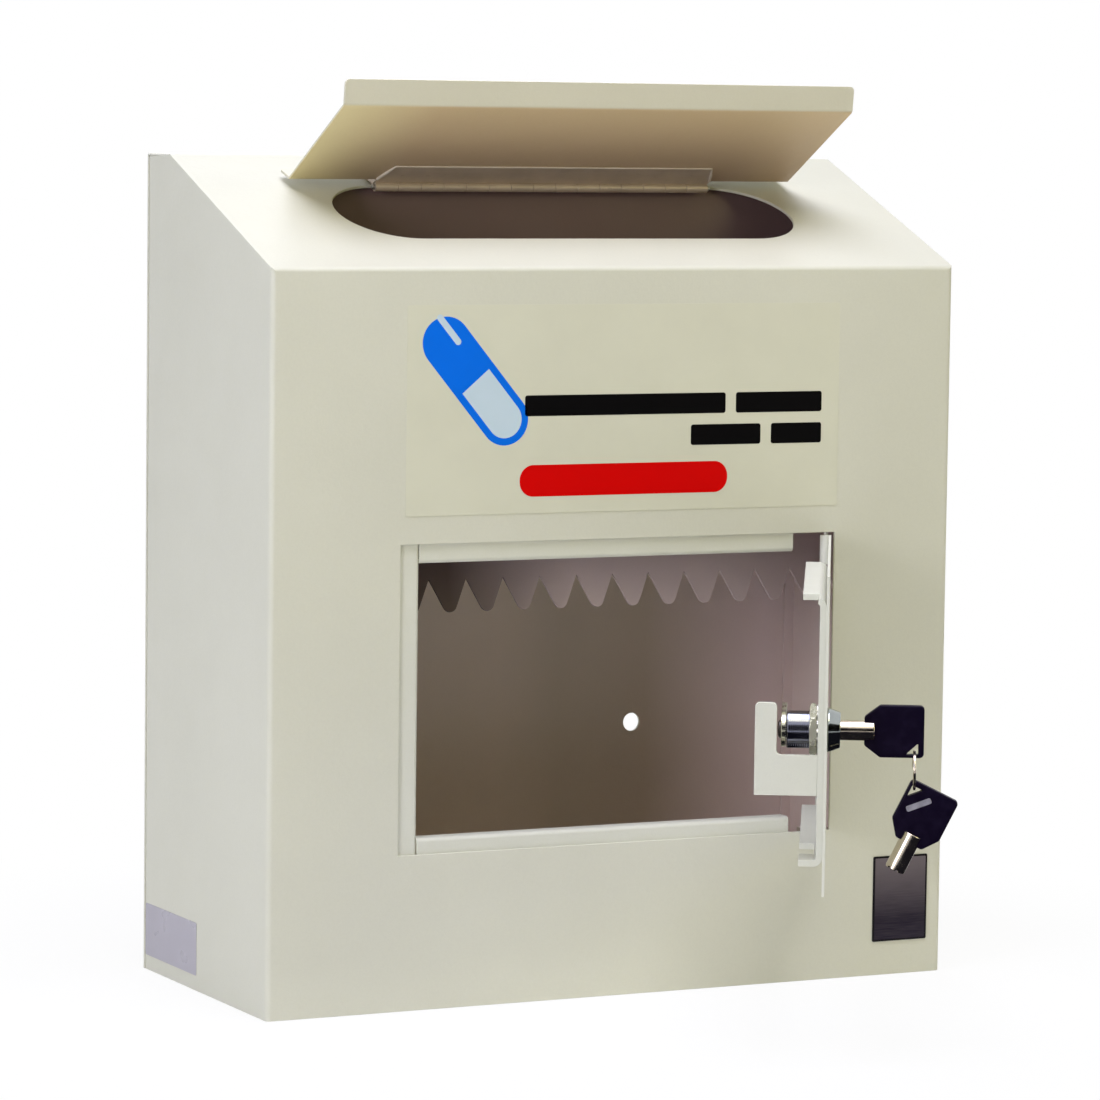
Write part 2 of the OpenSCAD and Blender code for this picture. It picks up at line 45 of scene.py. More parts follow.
box = {
    "width": 368, "height": 406, "depth": 157.3, "front": 354.5, "ledge": 28.6,
    "sheet": 1.5, "fold": 1.2, "backFlange": 7,
    "backFold": 0.05,  # near sharp, so no groove shows along the rear edges
}
halfW = box["width"] / 2
frontY, backY = -box["depth"] / 2, box["depth"] / 2
rise, run = box["height"] - box["front"], box["depth"] - box["ledge"]
slopeA = math.atan2(rise, run)
slopeUp = np.array([math.cos(slopeA), math.sin(slopeA)])
slopeOut = np.array([-math.sin(slopeA), math.cos(slopeA)])
cornerR = box["fold"] + box["sheet"]

opening = {"left": -116.6, "right": 118.8, "low": 75.1, "high": 223.6}

# Camera and light

cameraView = {
    "place": (-1.06277, -2.15425, 0.42720),  # metres
    "yaw": 26.276, "pitch": 5.137, "roll": 0.731,  # degrees, pitch looks down
    "focal": 4840.26,  # pixels on the 1100 pixel frame
    "frame": 1100,
    "sensor": 36,  # millimetres
    "farthest": 50,  # metres
}


def makeCamera():
    yaw, pitch, roll = (math.radians(cameraView[k]) for k in ("yaw", "pitch", "roll"))
    ahead = np.array([math.sin(yaw) * math.cos(pitch), math.cos(yaw) * math.cos(pitch), -math.sin(pitch)])
    level = np.array([math.cos(yaw), -math.sin(yaw), 0.0])
    upward = np.cross(level, ahead)
    right = level * math.cos(roll) + upward * math.sin(roll)
    up = -level * math.sin(roll) + upward * math.cos(roll)
    camera = bpy.data.objects.new("camera", bpy.data.cameras.new("camera"))
    bpy.context.scene.collection.objects.link(camera)
    camera.data.sensor_width = cameraView["sensor"]
    camera.data.lens = cameraView["sensor"] * cameraView["focal"] / cameraView["frame"]
    camera.data.clip_end = cameraView["farthest"]
    turn = Matrix((right, up, -ahead)).transposed().to_4x4()
    camera.matrix_world = Matrix.Translation(cameraView["place"]) @ turn
    bpy.context.scene.camera = camera


studio = {
    "ambient": (0.11, 0.11, 0.07),
    "aim": (0, 0, 0.25),  # metres, the point that every lamp looks at
    # place, size, power in each colour
    "lamps": {
        "lightAbove": ((-0.15, -0.35, 1.75), (1.3, 1.0), (22.8, 23.0, 29.0)),
        "lightAboveFront": ((-0.4, -1.5, 2.3), (1.2, 0.6), (9.4, 8.9, 5.4)),
        "lightLeft": ((-1.7, -0.5, 1.0), (0.9, 1.2), (2.0, 2.6, 5.0)),
        "lightFrontLeft": ((-1.9, -1.1, 0.6), (0.5, 0.7), (12.4, 12.0, 12.3)),
        "lightRight": ((1.5, -1.5, 0.9), (1.0, 1.0), (4.2, 3.8, 0.7)),
        "lightBack": ((0.5, 2.3, 1.3), (1.4, 1.0), (17.0, 17.0, 17.0)),
    },
    # corners of the black cards that only gloss sees, for the dark bands in the chrome
    "cards": {
        "cardLow": [(-0.5, -1.5, 0.012), (1.4, -1.5, 0.012), (1.4, -0.1, 0.012), (-0.5, -0.1, 0.012)],
        "cardFront": [(-2.9, -3.3, 0.0), (2.0, -3.3, 0.0), (2.0, -3.3, 2.3), (-2.9, -3.3, 2.3)],
    },
    "cardTone": (0.012, 0.012, 0.016),
}


# Soft panel light that looks from its place at the box. The strongest colour sets its power.
def softPanel(name, place, size, power):
    lamp = bpy.data.lights.new(name, "AREA")
    lamp.shape = "RECTANGLE"
    lamp.size, lamp.size_y = size
    lamp.energy = max(power)
    lamp.color = [part / max(power) for part in power]
    panel = bpy.data.objects.new(name, lamp)
    bpy.context.scene.collection.objects.link(panel)
    away = Vector(place) - Vector(studio["aim"])
    panel.matrix_world = Matrix.Translation(place) @ away.to_track_quat("Z", "Y").to_matrix().to_4x4()


# 1 where the camera, a mirror or glass sees the surface, 0 where it only lights others
def seenByEye(tree):
    path = tree.nodes.new("ShaderNodeLightPath")
    seen = path.outputs["Is Camera Ray"]
    for ray in ("Is Glossy Ray", "Is Transmission Ray"):
        either = tree.nodes.new("ShaderNodeMath")
        either.operation = "MAXIMUM"
        tree.links.new(seen, either.inputs[0])
        tree.links.new(path.outputs[ray], either.inputs[1])
        seen = either.outputs[0]
    return seen


def makeStudio():
    bpy.context.scene.view_settings.view_transform = "Standard"
    world = bpy.data.worlds.new("studio")
    bpy.context.scene.world = world
    world.use_nodes = True
    tree = world.node_tree
    tree.nodes.clear()
    mix = tree.nodes.new("ShaderNodeMixShader")
    tree.links.new(seenByEye(tree), mix.inputs[0])
    # what lights the box, then what the eye sees behind it
    for colour, socket in ((studio["ambient"], mix.inputs[1]), ((1, 1, 1), mix.inputs[2])):
        shade = tree.nodes.new("ShaderNodeBackground")
        shade.inputs["Color"].default_value = (*colour, 1)
        tree.links.new(shade.outputs[0], socket)
    tree.links.new(mix.outputs[0], tree.nodes.new("ShaderNodeOutputWorld").inputs[0])
    for name, (place, size, power) in studio["lamps"].items():
        softPanel(name, place, size, power)


# Flat four-cornered sheet with a material of its own, as the sheet and the material's node tree
def flatSheet(name, corners):
    mesh = bpy.data.meshes.new(name)
    mesh.from_pydata(corners, [], [(0, 1, 2, 3)])
    sheet = bpy.data.objects.new(name, mesh)
    bpy.context.scene.collection.objects.link(sheet)
    material = bpy.data.materials.new(name)
    material.use_nodes = True
    mesh.materials.append(material)
    return sheet, material.node_tree


def blackCard(name, corners):
    card, tree = flatSheet(name, corners)
    for way in ("camera", "diffuse", "transmission", "shadow", "volume_scatter"):
        setattr(card, "visible_" + way, False)
    shader = tree.nodes["Principled BSDF"]
    shader.inputs["Base Color"].default_value = (*studio["cardTone"], 1)
    shader.inputs["Specular IOR Level"].default_value = 0.0


floorPaper = {
    "reach": 6.0, "level": -0.0003,  # metres
    "tint": (0.95, 0.95, 0.95), "roughness": 0.9, "specular": 0.1,
    "glow": 0.9,  # share of plain white that the eye sees near the box
    "whitens": (0.25, 0.45),  # metres from the middle over which that share grows to 1
}


# Flat floor, paler to the eye than to the light, that keeps the shadow near the box and whitens away from it
def makeFloor():
    reach, z = floorPaper["reach"], floorPaper["level"]
    corners = [(-reach, -reach, z), (reach, -reach, z), (reach, reach, z), (-reach, reach, z)]
    floor, tree = flatSheet("floor", corners)
    shader = tree.nodes["Principled BSDF"]
    shader.inputs["Base Color"].default_value = (*floorPaper["tint"], 1)
    shader.inputs["Roughness"].default_value = floorPaper["roughness"]
    shader.inputs["Specular IOR Level"].default_value = floorPaper["specular"]
    white = tree.nodes.new("ShaderNodeEmission")
    white.inputs["Color"].default_value = (1, 1, 1, 1)
    place = tree.nodes.new("ShaderNodeTexCoord")
    away = tree.nodes.new("ShaderNodeVectorMath")
    away.operation = "LENGTH"
    tree.links.new(place.outputs["Object"], away.inputs[0])
    share = tree.nodes.new("ShaderNodeMapRange")
    share.interpolation_type = "SMOOTHSTEP"
    tree.links.new(away.outputs["Value"], share.inputs["Value"])
    ends = (*floorPaper["whitens"], floorPaper["glow"], 1.0)
    for socket, value in zip(("From Min", "From Max", "To Min", "To Max"), ends):
        share.inputs[socket].default_value = value
    seen = tree.nodes.new("ShaderNodeMath")
    seen.operation = "MULTIPLY"
    tree.links.new(seenByEye(tree), seen.inputs[0])
    tree.links.new(share.outputs[0], seen.inputs[1])
    mix = tree.nodes.new("ShaderNodeMixShader")
    for output, socket in zip((seen.outputs[0], shader.outputs[0], white.outputs[0]), mix.inputs):
        tree.links.new(output, socket)
    tree.links.new(mix.outputs[0], tree.nodes["Material Output"].inputs[0])


makeCamera()
makeStudio()
makeFloor()
for name, corners in studio["cards"].items():
    blackCard(name, corners)
print("camera and light")

# Materials

# Shortcuts over one material's node tree
class Finish:
    def __init__(self, name, roughness=0.5, metallic=0.0, specular=0.5):
        self.material = bpy.data.materials.new(name)
        self.material.use_nodes = True
        self.tree = self.material.node_tree
        self.shader = self.tree.nodes["Principled BSDF"]
        self.shader.inputs["Metallic"].default_value = metallic
        self.shader.inputs["Roughness"].default_value = roughness
        self.shader.inputs["Specular IOR Level"].default_value = specular
        self.coords = self.tree.nodes.new("ShaderNodeTexCoord")

    def node(self, kind, **values):
        made = self.tree.nodes.new(kind)
        for key, value in values.items():
            setattr(made, key, value)
        return made

    def link(self, a, b):
        self.tree.links.new(a, b)

    # Object coordinates, stretched by a scale along each axis
    def place(self, scale=(1, 1, 1)):
        mapping = self.node("ShaderNodeMapping")
        mapping.inputs["Scale"].default_value = scale
        self.link(self.coords.outputs["Object"], mapping.inputs["Vector"])
        return mapping.outputs["Vector"]

    def noise(self, size, detail=2.0, rough=0.5, stretch=(1, 1, 1)):
        made = self.node("ShaderNodeTexNoise")
        made.inputs["Scale"].default_value = size
        made.inputs["Detail"].default_value = detail
        made.inputs["Roughness"].default_value = rough
        self.link(self.place(stretch), made.inputs["Vector"])
        return made.outputs["Fac"]

    # X, Y and Z of Object coordinates, in metres
    def axes(self):
        split = self.node("ShaderNodeSeparateXYZ")
        self.link(self.coords.outputs["Object"], split.inputs[0])
        return split.outputs

    # Spreads a part of a value's range over another range of numbers
    def spread(self, value, low, high, fromLow=0.3, fromHigh=0.7):
        made = self.node("ShaderNodeMapRange")
        ends = {"From Min": fromLow, "From Max": fromHigh, "To Min": low, "To Max": high}
        for socket, end in ends.items():
            made.inputs[socket].default_value = end
        self.link(value, made.inputs["Value"])
        return made.outputs["Result"]

    # Gives a socket what another one puts out, or a number, or a colour of three parts
    def feed(self, socket, value):
        if isinstance(value, bpy.types.NodeSocket):
            self.link(value, socket)
        else:
            socket.default_value = (*value, 1) if isinstance(value, tuple) else value

    def blend(self, share, first, second, way="MIX"):
        made = self.node("ShaderNodeMix", data_type="RGBA", blend_type=way)
        # 6 and 7 are the node's two colours
        for socket, value in (("Factor", share), (6, first), (7, second)):
            self.feed(made.inputs[socket], value)
        return made.outputs[2]

    # One colour that fades into another while a value goes from start to end
    def fade(self, value, first, second, start=0.3, end=0.7):
        return self.blend(self.spread(value, 0, 1, start, end), first, second)

    def reckon(self, operation, *values):
        made = self.node("ShaderNodeMath", operation=operation)
        for socket, value in zip(made.inputs, values):
            self.feed(socket, value)
        return made.outputs[0]

    # Distance from a point along a direction, in metres
    def measured(self, origin, way):
        away = self.node("ShaderNodeVectorMath", operation="SUBTRACT")
        self.link(self.coords.outputs["Object"], away.inputs[0])
        away.inputs[1].default_value = origin
        dot = self.node("ShaderNodeVectorMath", operation="DOT_PRODUCT")
        self.link(away.outputs[0], dot.inputs[0])
        dot.inputs[1].default_value = way
        return dot.outputs["Value"]

    # 1 where a point lies within the body's sheet, 0 on its outer faces: the least of its depths
    # behind the sides, front, back, base, ledge and slope, against a little less than the sheet's thickness
    def withinBody(self):
        x, y, z = self.axes()
        behind = self.reckon("SUBTRACT", y, frontY * mm)
        above = self.reckon("SUBTRACT", z, box["front"] * mm)
        underSlope = self.reckon("SUBTRACT", self.reckon("MULTIPLY", behind, math.sin(slopeA)),
                                 self.reckon("MULTIPLY", above, math.cos(slopeA)))
        least = self.reckon("SUBTRACT", halfW * mm, self.reckon("ABSOLUTE", x))
        for depth in (behind, self.reckon("SUBTRACT", backY * mm, y), z,
                      self.reckon("SUBTRACT", box["height"] * mm, z), underSlope):
            least = self.reckon("MINIMUM", least, depth)
        return self.reckon("GREATER_THAN", least, (box["sheet"] - 0.1) * mm)

    def bump(self, value, strength, depth, under=None):
        made = self.node("ShaderNodeBump")
        made.inputs["Strength"].default_value = strength
        made.inputs["Distance"].default_value = depth
        self.link(value, made.inputs["Height"])
        if under is not None:
            self.link(under, made.inputs["Normal"])
        self.link(made.outputs["Normal"], self.shader.inputs["Normal"])
        return made.outputs["Normal"]

    def colour(self, value):
        self.link(value, self.shader.inputs["Base Color"])

    def rough(self, value):
        self.link(value, self.shader.inputs["Roughness"])


# sRGB numbers of 0 to 255 as linear light
def tint(r, g, b):
    value = np.array([r, g, b]) / 255
    return tuple(np.where(value <= 0.04045, value / 12.92, ((value + 0.055) / 1.055) ** 2.4).tolist())


# Lighter or darker shade of a colour
def shaded(colour, share, lift=0.0):
    return tuple(min(part * share + lift, 1.0) for part in colour)


# Powder coat: a fine orange peel, with patches and specks that are a little lighter or darker
# Where a tone function is given, the tone it computes, painted shade and light included, takes the colour's
# place
def powderCoat(name, colour, peel=0.35, grain=1100, patch=0.025, paintedShadeOf=None):
    made = Finish(name, roughness=0.42, specular=0.4)
    fine = made.noise(grain, 2, 0.55)
    tone = paintedShadeOf(made) if paintedShadeOf else colour
    patches = made.spread(made.noise(9, 3, 0.55), 1 - patch, 1 + patch)
    specks = made.spread(fine, 1.0, 0.975, 0.35, 0.75)
    made.colour(made.blend(1.0, tone, made.reckon("MULTIPLY", patches, specks), "MULTIPLY"))
    made.rough(made.spread(made.noise(40, 3, 0.6), 0.38, 0.50))
    under = made.bump(fine, peel, 0.00012)
    made.bump(made.noise(260, 2, 0.5), peel * 0.7, 0.0003, under)
    return made.material


# Plated metal: grain lines along one axis over faint smudges
def platedMetal(name, colour, roughness, stretch=(1, 1, 1), grain=900, strength=0.15, metallic=1.0):
    made = Finish(name, roughness=roughness, metallic=metallic)
    lines = made.noise(grain, 3, 0.6, stretch)
    made.colour(made.fade(made.noise(70, 3, 0.6), shaded(colour, 0.9), shaded(colour, 1.05)))
    made.rough(made.spread(lines, roughness * 0.75, roughness * 1.35))
    made.bump(lines, strength, 0.00005)
    return made.material


# Bright chrome: faint smudges in the tone and gloss, fine polishing lines in the height
def polishedChrome(name, colour, roughness=0.12, grain=1800):
    made = Finish(name, roughness=roughness, metallic=1.0)
    smudge = made.noise(120, 3, 0.6)
    made.colour(made.fade(smudge, shaded(colour, 0.9), colour))
    made.rough(made.spread(smudge, roughness * 0.7, roughness * 1.5))
    made.bump(made.noise(grain, 2, 0.5), 0.06, 0.00004)
    return made.material


# Moulded plastic: soft grain and a few paler rubs
def mouldedPlastic(name, colour, gloss=0.16):
    made = Finish(name, roughness=0.4, specular=gloss)
    rub = made.noise(180, 4, 0.65)
    made.colour(made.fade(rub, colour, shaded(colour, 1.5, 0.002), 0.45, 0.75))
    made.rough(made.spread(rub, 0.32, 0.52))
    made.bump(made.noise(2200, 2, 0.5), 0.12, 0.00006)
    return made.material


# Printed or tinted film: near even, with a trace of the paint's texture telegraphing through
def printedFilm(name, colour, roughness=0.34, patch=0.02, gloss=0.4):
    made = Finish(name, roughness=roughness, specular=gloss)
    made.colour(made.fade(made.noise(30, 3, 0.6), shaded(colour, 1 - patch), shaded(colour, 1 + patch)))
    made.rough(made.spread(made.noise(55, 2, 0.5), roughness * 0.85, roughness * 1.2))
    made.bump(made.noise(700, 2, 0.5), 0.08, 0.0001)
    return made.material


# Dark metal plate that shades from one tone at its low edge to another at its high one, under fine streaks
def shadedPlate(name, top, bottom, low, high):
    made = Finish(name, roughness=0.34, metallic=0.3, specular=0.2)
    streak = made.noise(1500, 3, 0.6, (0.05, 1, 1))
    plain = made.fade(made.axes()["Z"], bottom, top, low, high)
    made.colour(made.blend(made.spread(streak, 0, 0.12), plain, shaded(top, 1.2)))
    made.rough(made.spread(streak, 0.28, 0.44))
    made.bump(streak, 0.1, 0.00004)
    return made.material


creamTone = tint(214, 213, 195)
# Painted shade and light inside the body: khaki shade at the left, deeper shade in the middle, pale light to
# the right
insideShade = {
    "left": tint(232, 216, 194), "middle": tint(215, 202, 180), "right": tint(252, 236, 234),
    "toMiddle": (10 * mm, 45 * mm), "toRight": (95 * mm, 165 * mm),  # where one tone fades into the next
}


# Cream outside. Inside, painted shade and light: khaki at the left, deeper in the middle and paler to the
# right.
def coatOfBodyWithInsideShade(made):
    across = made.axes()["X"]
    inner = made.fade(across, insideShade["left"], insideShade["middle"], *insideShade["toMiddle"])
    inner = made.fade(across, inner, insideShade["right"], *insideShade["toRight"])
    return made.blend(made.withinBody(), creamTone, inner)


# the inside faces of this paint carry painted shade and light
creamPaintShadedInside = powderCoat("creamPowderCoatShadedInside", creamTone, paintedShadeOf=coatOfBodyWithInsideShade)
ivoryPaint = powderCoat("ivoryPowderCoat", tint(217, 217, 202), peel=0.25)
doorPaint = powderCoat("doorPowderCoat", tint(223, 223, 209), peel=0.3)
zincSteel = platedMetal("zincPlatedSteel", tint(190, 188, 180), 0.34, (1, 0.1, 1))
hingeSteel = platedMetal("hingeSteel", tint(212, 194, 172), 0.36, (0.08, 1, 1), metallic=0.3)
brightChrome = polishedChrome("brightChrome", tint(168, 174, 174))
keySteel = polishedChrome("keyNickel", tint(222, 210, 194), 0.16)
barrelSteel = polishedChrome("threadedBarrel", tint(138, 140, 158), 0.14)
nutSteel = polishedChrome("nutChrome", tint(224, 222, 202), 0.24)
lockSteel = platedMetal("lockDieCast", tint(90, 84, 84), 0.28, strength=0.3, grain=1600)
bowPlastic = mouldedPlastic("bowPlastic", tint(13, 5, 28), 0.08)
greyInlay = mouldedPlastic("bowInlay", tint(132, 130, 140), 0.2)
weldPaint = powderCoat("paintedWeld", tint(224, 212, 196), peel=0.5)
labelFilm = printedFilm("labelFilm", tint(215, 214, 192))
blueInk = printedFilm("blueInk", tint(6, 110, 232), gloss=0.08)
paleBlueInk = printedFilm("paleBlueInk", tint(198, 216, 226), gloss=0.08)
blackInk = printedFilm("blackInk", tint(12, 11, 12), gloss=0.03)
redInk = printedFilm("redInk", tint(216, 4, 4), gloss=0.05)
plateFace = shadedPlate("plateFace", tint(132, 122, 126), tint(42, 36, 52), 0.028, 0.062)
plateEdge = mouldedPlastic("plateEdge", tint(22, 20, 24))
silverFilm = printedFilm("silverFilm", tint(172, 168, 176), 0.3)
print("materials")

# Surface tools

# Joins (points, faces) patches and welds points that agree to 0.1 micrometre
def weld(*patches):
    points, faces, start = [], [], 0
    for somePoints, someFaces in patches:
        points.append(np.asarray(somePoints, float).reshape(-1, 3))
        faces.append(np.asarray(someFaces, int).reshape(-1, 4) + start)
        start += len(points[-1])
    points, faces = np.concatenate(points), np.concatenate(faces)
    first, back = np.unique(np.round(points, 4), axis=0, return_index=True, return_inverse=True)[1:]
    return points[first], back.reshape(-1)[faces]


# Quads of an n by m grid whose points run row by row; keep picks the cells that stay
def gridFaces(n, m, keep=None, closeRows=False, closeCols=False):
    rows, cols = n - (not closeRows), m - (not closeCols)
    i, j = np.meshgrid(np.arange(rows), np.arange(cols), indexing="ij")
    k, l = (i + 1) % n, (j + 1) % m
    quads = np.stack([i * m + j, k * m + j, k * m + l, i * m + l], -1)
    return quads[keep] if keep is not None else quads.reshape(-1, 4)


# Puts points in millimetres and quads into a mesh; a quad that repeats a point becomes a triangle.
# caps are further faces with any number of corners.
def meshPiece(name, points, faces, body, material, slot, sharp=None, caps=()):
    points = np.asarray(points, float).reshape(-1, 3) * mm
    faces = np.asarray(faces, int).reshape(-1, 4)
    solid = faces != np.roll(faces, -1, 1)
    rows = [face[keep].tolist() for face, keep in zip(faces, solid) if keep.sum() >= 3]
    rows += [list(cap) for cap in caps]
    mesh = bpy.data.meshes.new(name)
    mesh.from_pydata(points.tolist(), [], rows)
    mesh.validate()
    mesh.polygons.foreach_set("use_smooth", np.full(len(mesh.polygons), True))
    if sharp is not None:
        mesh.set_sharp_from_angle(angle=math.radians(sharp))
    piece = bpy.data.objects.new(name, mesh)
    bpy.context.scene.collection.objects.link(piece)
    mesh.materials.append(material)
    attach(piece, body)
    return piece


# Even shading over large flat faces
def evenShade(piece):
    even = piece.modifiers.new("evenShade", "WEIGHTED_NORMAL")
    even.keep_sharp = True
    even.weight = 60
    return piece


# Reads one value or vector of every item of a mesh into an array
def readAll(items, name, kind=float, wide=1):
    values = np.zeros(len(items) * wide, kind)
    items.foreach_get(name, values)
    return values.reshape(-1, wide) if wide > 1 else values


# Bevels the edges that turn more than 35 degrees and pass the choose test; the rest of them stay crisp.
# choose gets the middles of the edges in millimetres.
def roundEdges(piece, width, choose=None, steps=2, least=35):
    mesh = piece.data
    edgeOf = readAll(mesh.loops, "edge_index", int)
    normal = np.repeat(readAll(mesh.polygons, "normal", wide=3), readAll(mesh.polygons, "loop_total", int), 0)
    order = np.argsort(edgeOf, kind="stable")
    counts = np.bincount(edgeOf, minlength=len(mesh.edges))
    first = np.concatenate([[0], np.cumsum(counts)[:-1]])
    pair = counts == 2
    a, b = order[first[pair]], order[first[pair] + 1]
    turned = np.zeros(len(mesh.edges), bool)
    turned[pair] = (normal[a] * normal[b]).sum(1) < math.cos(math.radians(least))
    middle = readAll(mesh.vertices, "co", wide=3)[readAll(mesh.edges, "vertices", int, 2)].mean(1) / mm
    chosen = turned & (choose(middle) if choose else True)
    weight = mesh.attributes.new("bevel_weight_edge", "FLOAT", "EDGE")
    weight.data.foreach_set("value", chosen.astype(np.float32))
    sharp = mesh.attributes.get("sharp_edge") or mesh.attributes.new("sharp_edge", "BOOLEAN", "EDGE")
    sharp.data.foreach_set("value", turned & ~chosen)
    bevel = piece.modifiers.new("roundedEdges", "BEVEL")
    bevel.limit_method = "WEIGHT"
    bevel.width = width * mm
    bevel.segments = steps
    bevel.use_clamp_overlap = True
    return evenShade(piece)


def unit(v):
    return v / np.linalg.norm(v)


# A direction turned a quarter to the left
def leftOf(d):
    return np.array([-d[1], d[0]])


# Section of a folded sheet: the drawn face and its other face, which lies to its left, with round folds.
# Each fold is an arc about one middle, of radius r on one face and r + t on the other.
def foldedSection(corners, t, folds, flats=8):
    p = np.asarray(corners, float)
    drawn, other = [p[0]], [p[0] + t * leftOf(unit(p[1] - p[0]))]
    for before, at, after, r in zip(p[:-2], p[1:-1], p[2:], np.broadcast_to(folds, len(p) - 2)):
        d, e = unit(at - before), unit(after - at)
        angle = math.atan2(d[0] * e[1] - d[1] * e[0], d @ e)
        side = np.sign(angle)
        faceR = r + t if side > 0 else r
        middle = at - faceR * math.tan(abs(angle) / 2) * d + side * faceR * leftOf(d)
        turn = np.linspace(0, angle, flats + 1)
        out = leftOf(d)
        c, s = np.cos(turn), np.sin(turn)
        spokes = np.stack([out[0] * c - out[1] * s, out[0] * s + out[1] * c], 1)
        drawn.extend(middle - side * faceR * spokes)
        other.extend(middle - side * (2 * r + t - faceR) * spokes)
    drawn.append(p[-1])
    other.append(p[-1] + t * leftOf(unit(p[-1] - p[-2])))
    return np.array(drawn), np.array(other)


# Closes a sheet: two matching skins of quads, joined by a rim wherever a skin ends
def closeSheet(outer, inner, faces):
    n = len(outer)
    a = faces.reshape(-1)
    b = np.roll(faces, -1, 1).reshape(-1)
    ahead = a.astype(np.int64) * n + b
    lone = ~np.isin(ahead, b.astype(np.int64) * n + a) & (a != b)
    rim = np.stack([b[lone], a[lone], a[lone] + n, b[lone] + n], 1)
    return np.concatenate([outer, inner]), np.concatenate([faces, faces[:, ::-1] + n, rim])


# Carries a folded section along an axis. stations are the places along it, or one row for each section point.
# toWorld takes (section u, section v, station) columns to x, y, z.
def foldedSheet(section, stations, toWorld, keep=None):
    drawn, other = section
    n = len(drawn)
    along = np.broadcast_to(np.asarray(stations, float), (n, np.shape(stations)[-1]))
    m = along.shape[1]

    def skin(points):
        return toWorld(np.repeat(points[:, 0], m), np.repeat(points[:, 1], m), along.reshape(-1))

    return closeSheet(skin(drawn), skin(other), gridFaces(n, m, keep))


def alongX(u, v, s):
    return np.stack([s, u, v], 1)


def alongZ(u, v, s):
    return np.stack([u, v, s], 1)


# Rings round the Z axis: radius and height hold one row for each ring, with one value or one for each step.
# closed joins the last ring to the first, as on a tube with a bore.
def polarNet(radius, height, steps=72, closed=True):
    turn = np.linspace(0, 2 * math.pi, steps, endpoint=False)
    r = np.broadcast_to(radius, (len(radius), steps))
    z = np.broadcast_to(height, (len(height), steps))
    points = np.stack([r * np.cos(turn), r * np.sin(turn), z], -1).reshape(-1, 3)
    return weld((points, gridFaces(len(r), steps, closeRows=closed, closeCols=True)))


# Turned shape: a profile of (radius, height) points swung round the Z axis
def lathe(profile, steps=72, closed=True):
    profile = np.asarray(profile, float)
    return polarNet(profile[:, :1], profile[:, 1:], steps, closed)


# Softens the corners of a profile of (radius, height) points with short arcs
def softProfile(profile, r=0.3, steps=3):
    p = np.asarray(profile, float)
    out = [p[0]]
    for before, at, after in zip(p[:-2], p[1:-1], p[2:]):
        gap = min(r, np.linalg.norm(at - before) / 2.2, np.linalg.norm(after - at) / 2.2)
        a, b = at + unit(before - at) * gap, at + unit(after - at) * gap
        t = np.linspace(0, 1, steps + 1)[:, None]
        out.extend((1 - t) ** 2 * a + 2 * t * (1 - t) * at + t ** 2 * b)
    out.append(p[-1])
    return np.array(out)


# Rounds the corners of a closed outline with arcs of radius r, less where a side is short
def roundCorners(outline, r, steps=5):
    p = np.asarray(outline, float)
    out = []
    for before, at, after in zip(np.roll(p, 1, 0), p, np.roll(p, -1, 0)):
        a, b = unit(before - at), unit(after - at)
        half = math.acos(np.clip(a @ b, -1, 1)) / 2
        gap = min(r / math.tan(half), np.linalg.norm(before - at) / 2.05, np.linalg.norm(after - at) / 2.05)
        centre = at + unit(a + b) * gap / math.cos(half)
        first, last = at + a * gap - centre, at + b * gap - centre
        t = np.linspace(0, 1, steps + 1)[:, None]
        spokes = (1 - t) * first + t * last
        out.append(centre + spokes * np.linalg.norm(first) / np.linalg.norm(spokes, axis=1)[:, None])
    return np.concatenate(out)


# Insets and heights of the rings that carry a plate from z0 to z1 with its rims rounded by r
def rimRings(z0, z1, r, steps=3):
    turn = np.linspace(0, math.pi / 2, steps + 1)
    inset = np.concatenate([r * (1 - np.sin(turn)), r * (1 - np.cos(turn))])
    return inset, np.concatenate([z0 + r * (1 - np.cos(turn)), z1 - r * (1 - np.sin(turn))])


# Flat outline, drawn anticlockwise, carried up from z0 to z1: rings that shrink along their corner bisectors
def slab(outline, z0, z1, r=0.3):
    p = np.asarray(outline, float)
    ahead, behind = np.roll(p, -1, 0) - p, p - np.roll(p, 1, 0)
    ahead /= np.linalg.norm(ahead, axis=1)[:, None]
    behind /= np.linalg.norm(behind, axis=1)[:, None]
    inward = np.stack([-(ahead + behind)[:, 1], (ahead + behind)[:, 0]], 1)
    inward /= np.maximum((inward * np.stack([-ahead[:, 1], ahead[:, 0]], 1)).sum(1), 0.3)[:, None]
    inset, height = rimRings(z0, z1, r)
    rings = p[None] + inset[:, None, None] * inward[None]
    points = np.concatenate([rings, np.broadcast_to(height[:, None, None], rings.shape[:2] + (1,))], -1)
    n, k = len(p), len(inset)
    ends = [range(n - 1, -1, -1), range((k - 1) * n, k * n)]
    return points.reshape(-1, 3), gridFaces(k, n, closeCols=True), ends


# Distance from the middle to a convex outline along each angle, with the outline drawn in by inset
def reachOf(outline, angles, inset=0.0):
    p = np.asarray(outline, float)
    side = np.roll(p, -1, 0) - p
    normal = np.stack([side[:, 1], -side[:, 0]], 1) / np.linalg.norm(side, axis=1)[:, None]
    away = (p * normal).sum(1) - inset
    along = np.stack([np.cos(angles), np.sin(angles)], 1) @ normal.T
    return np.where(along > 1e-6, away / np.maximum(along, 1e-6), np.inf).min(1)


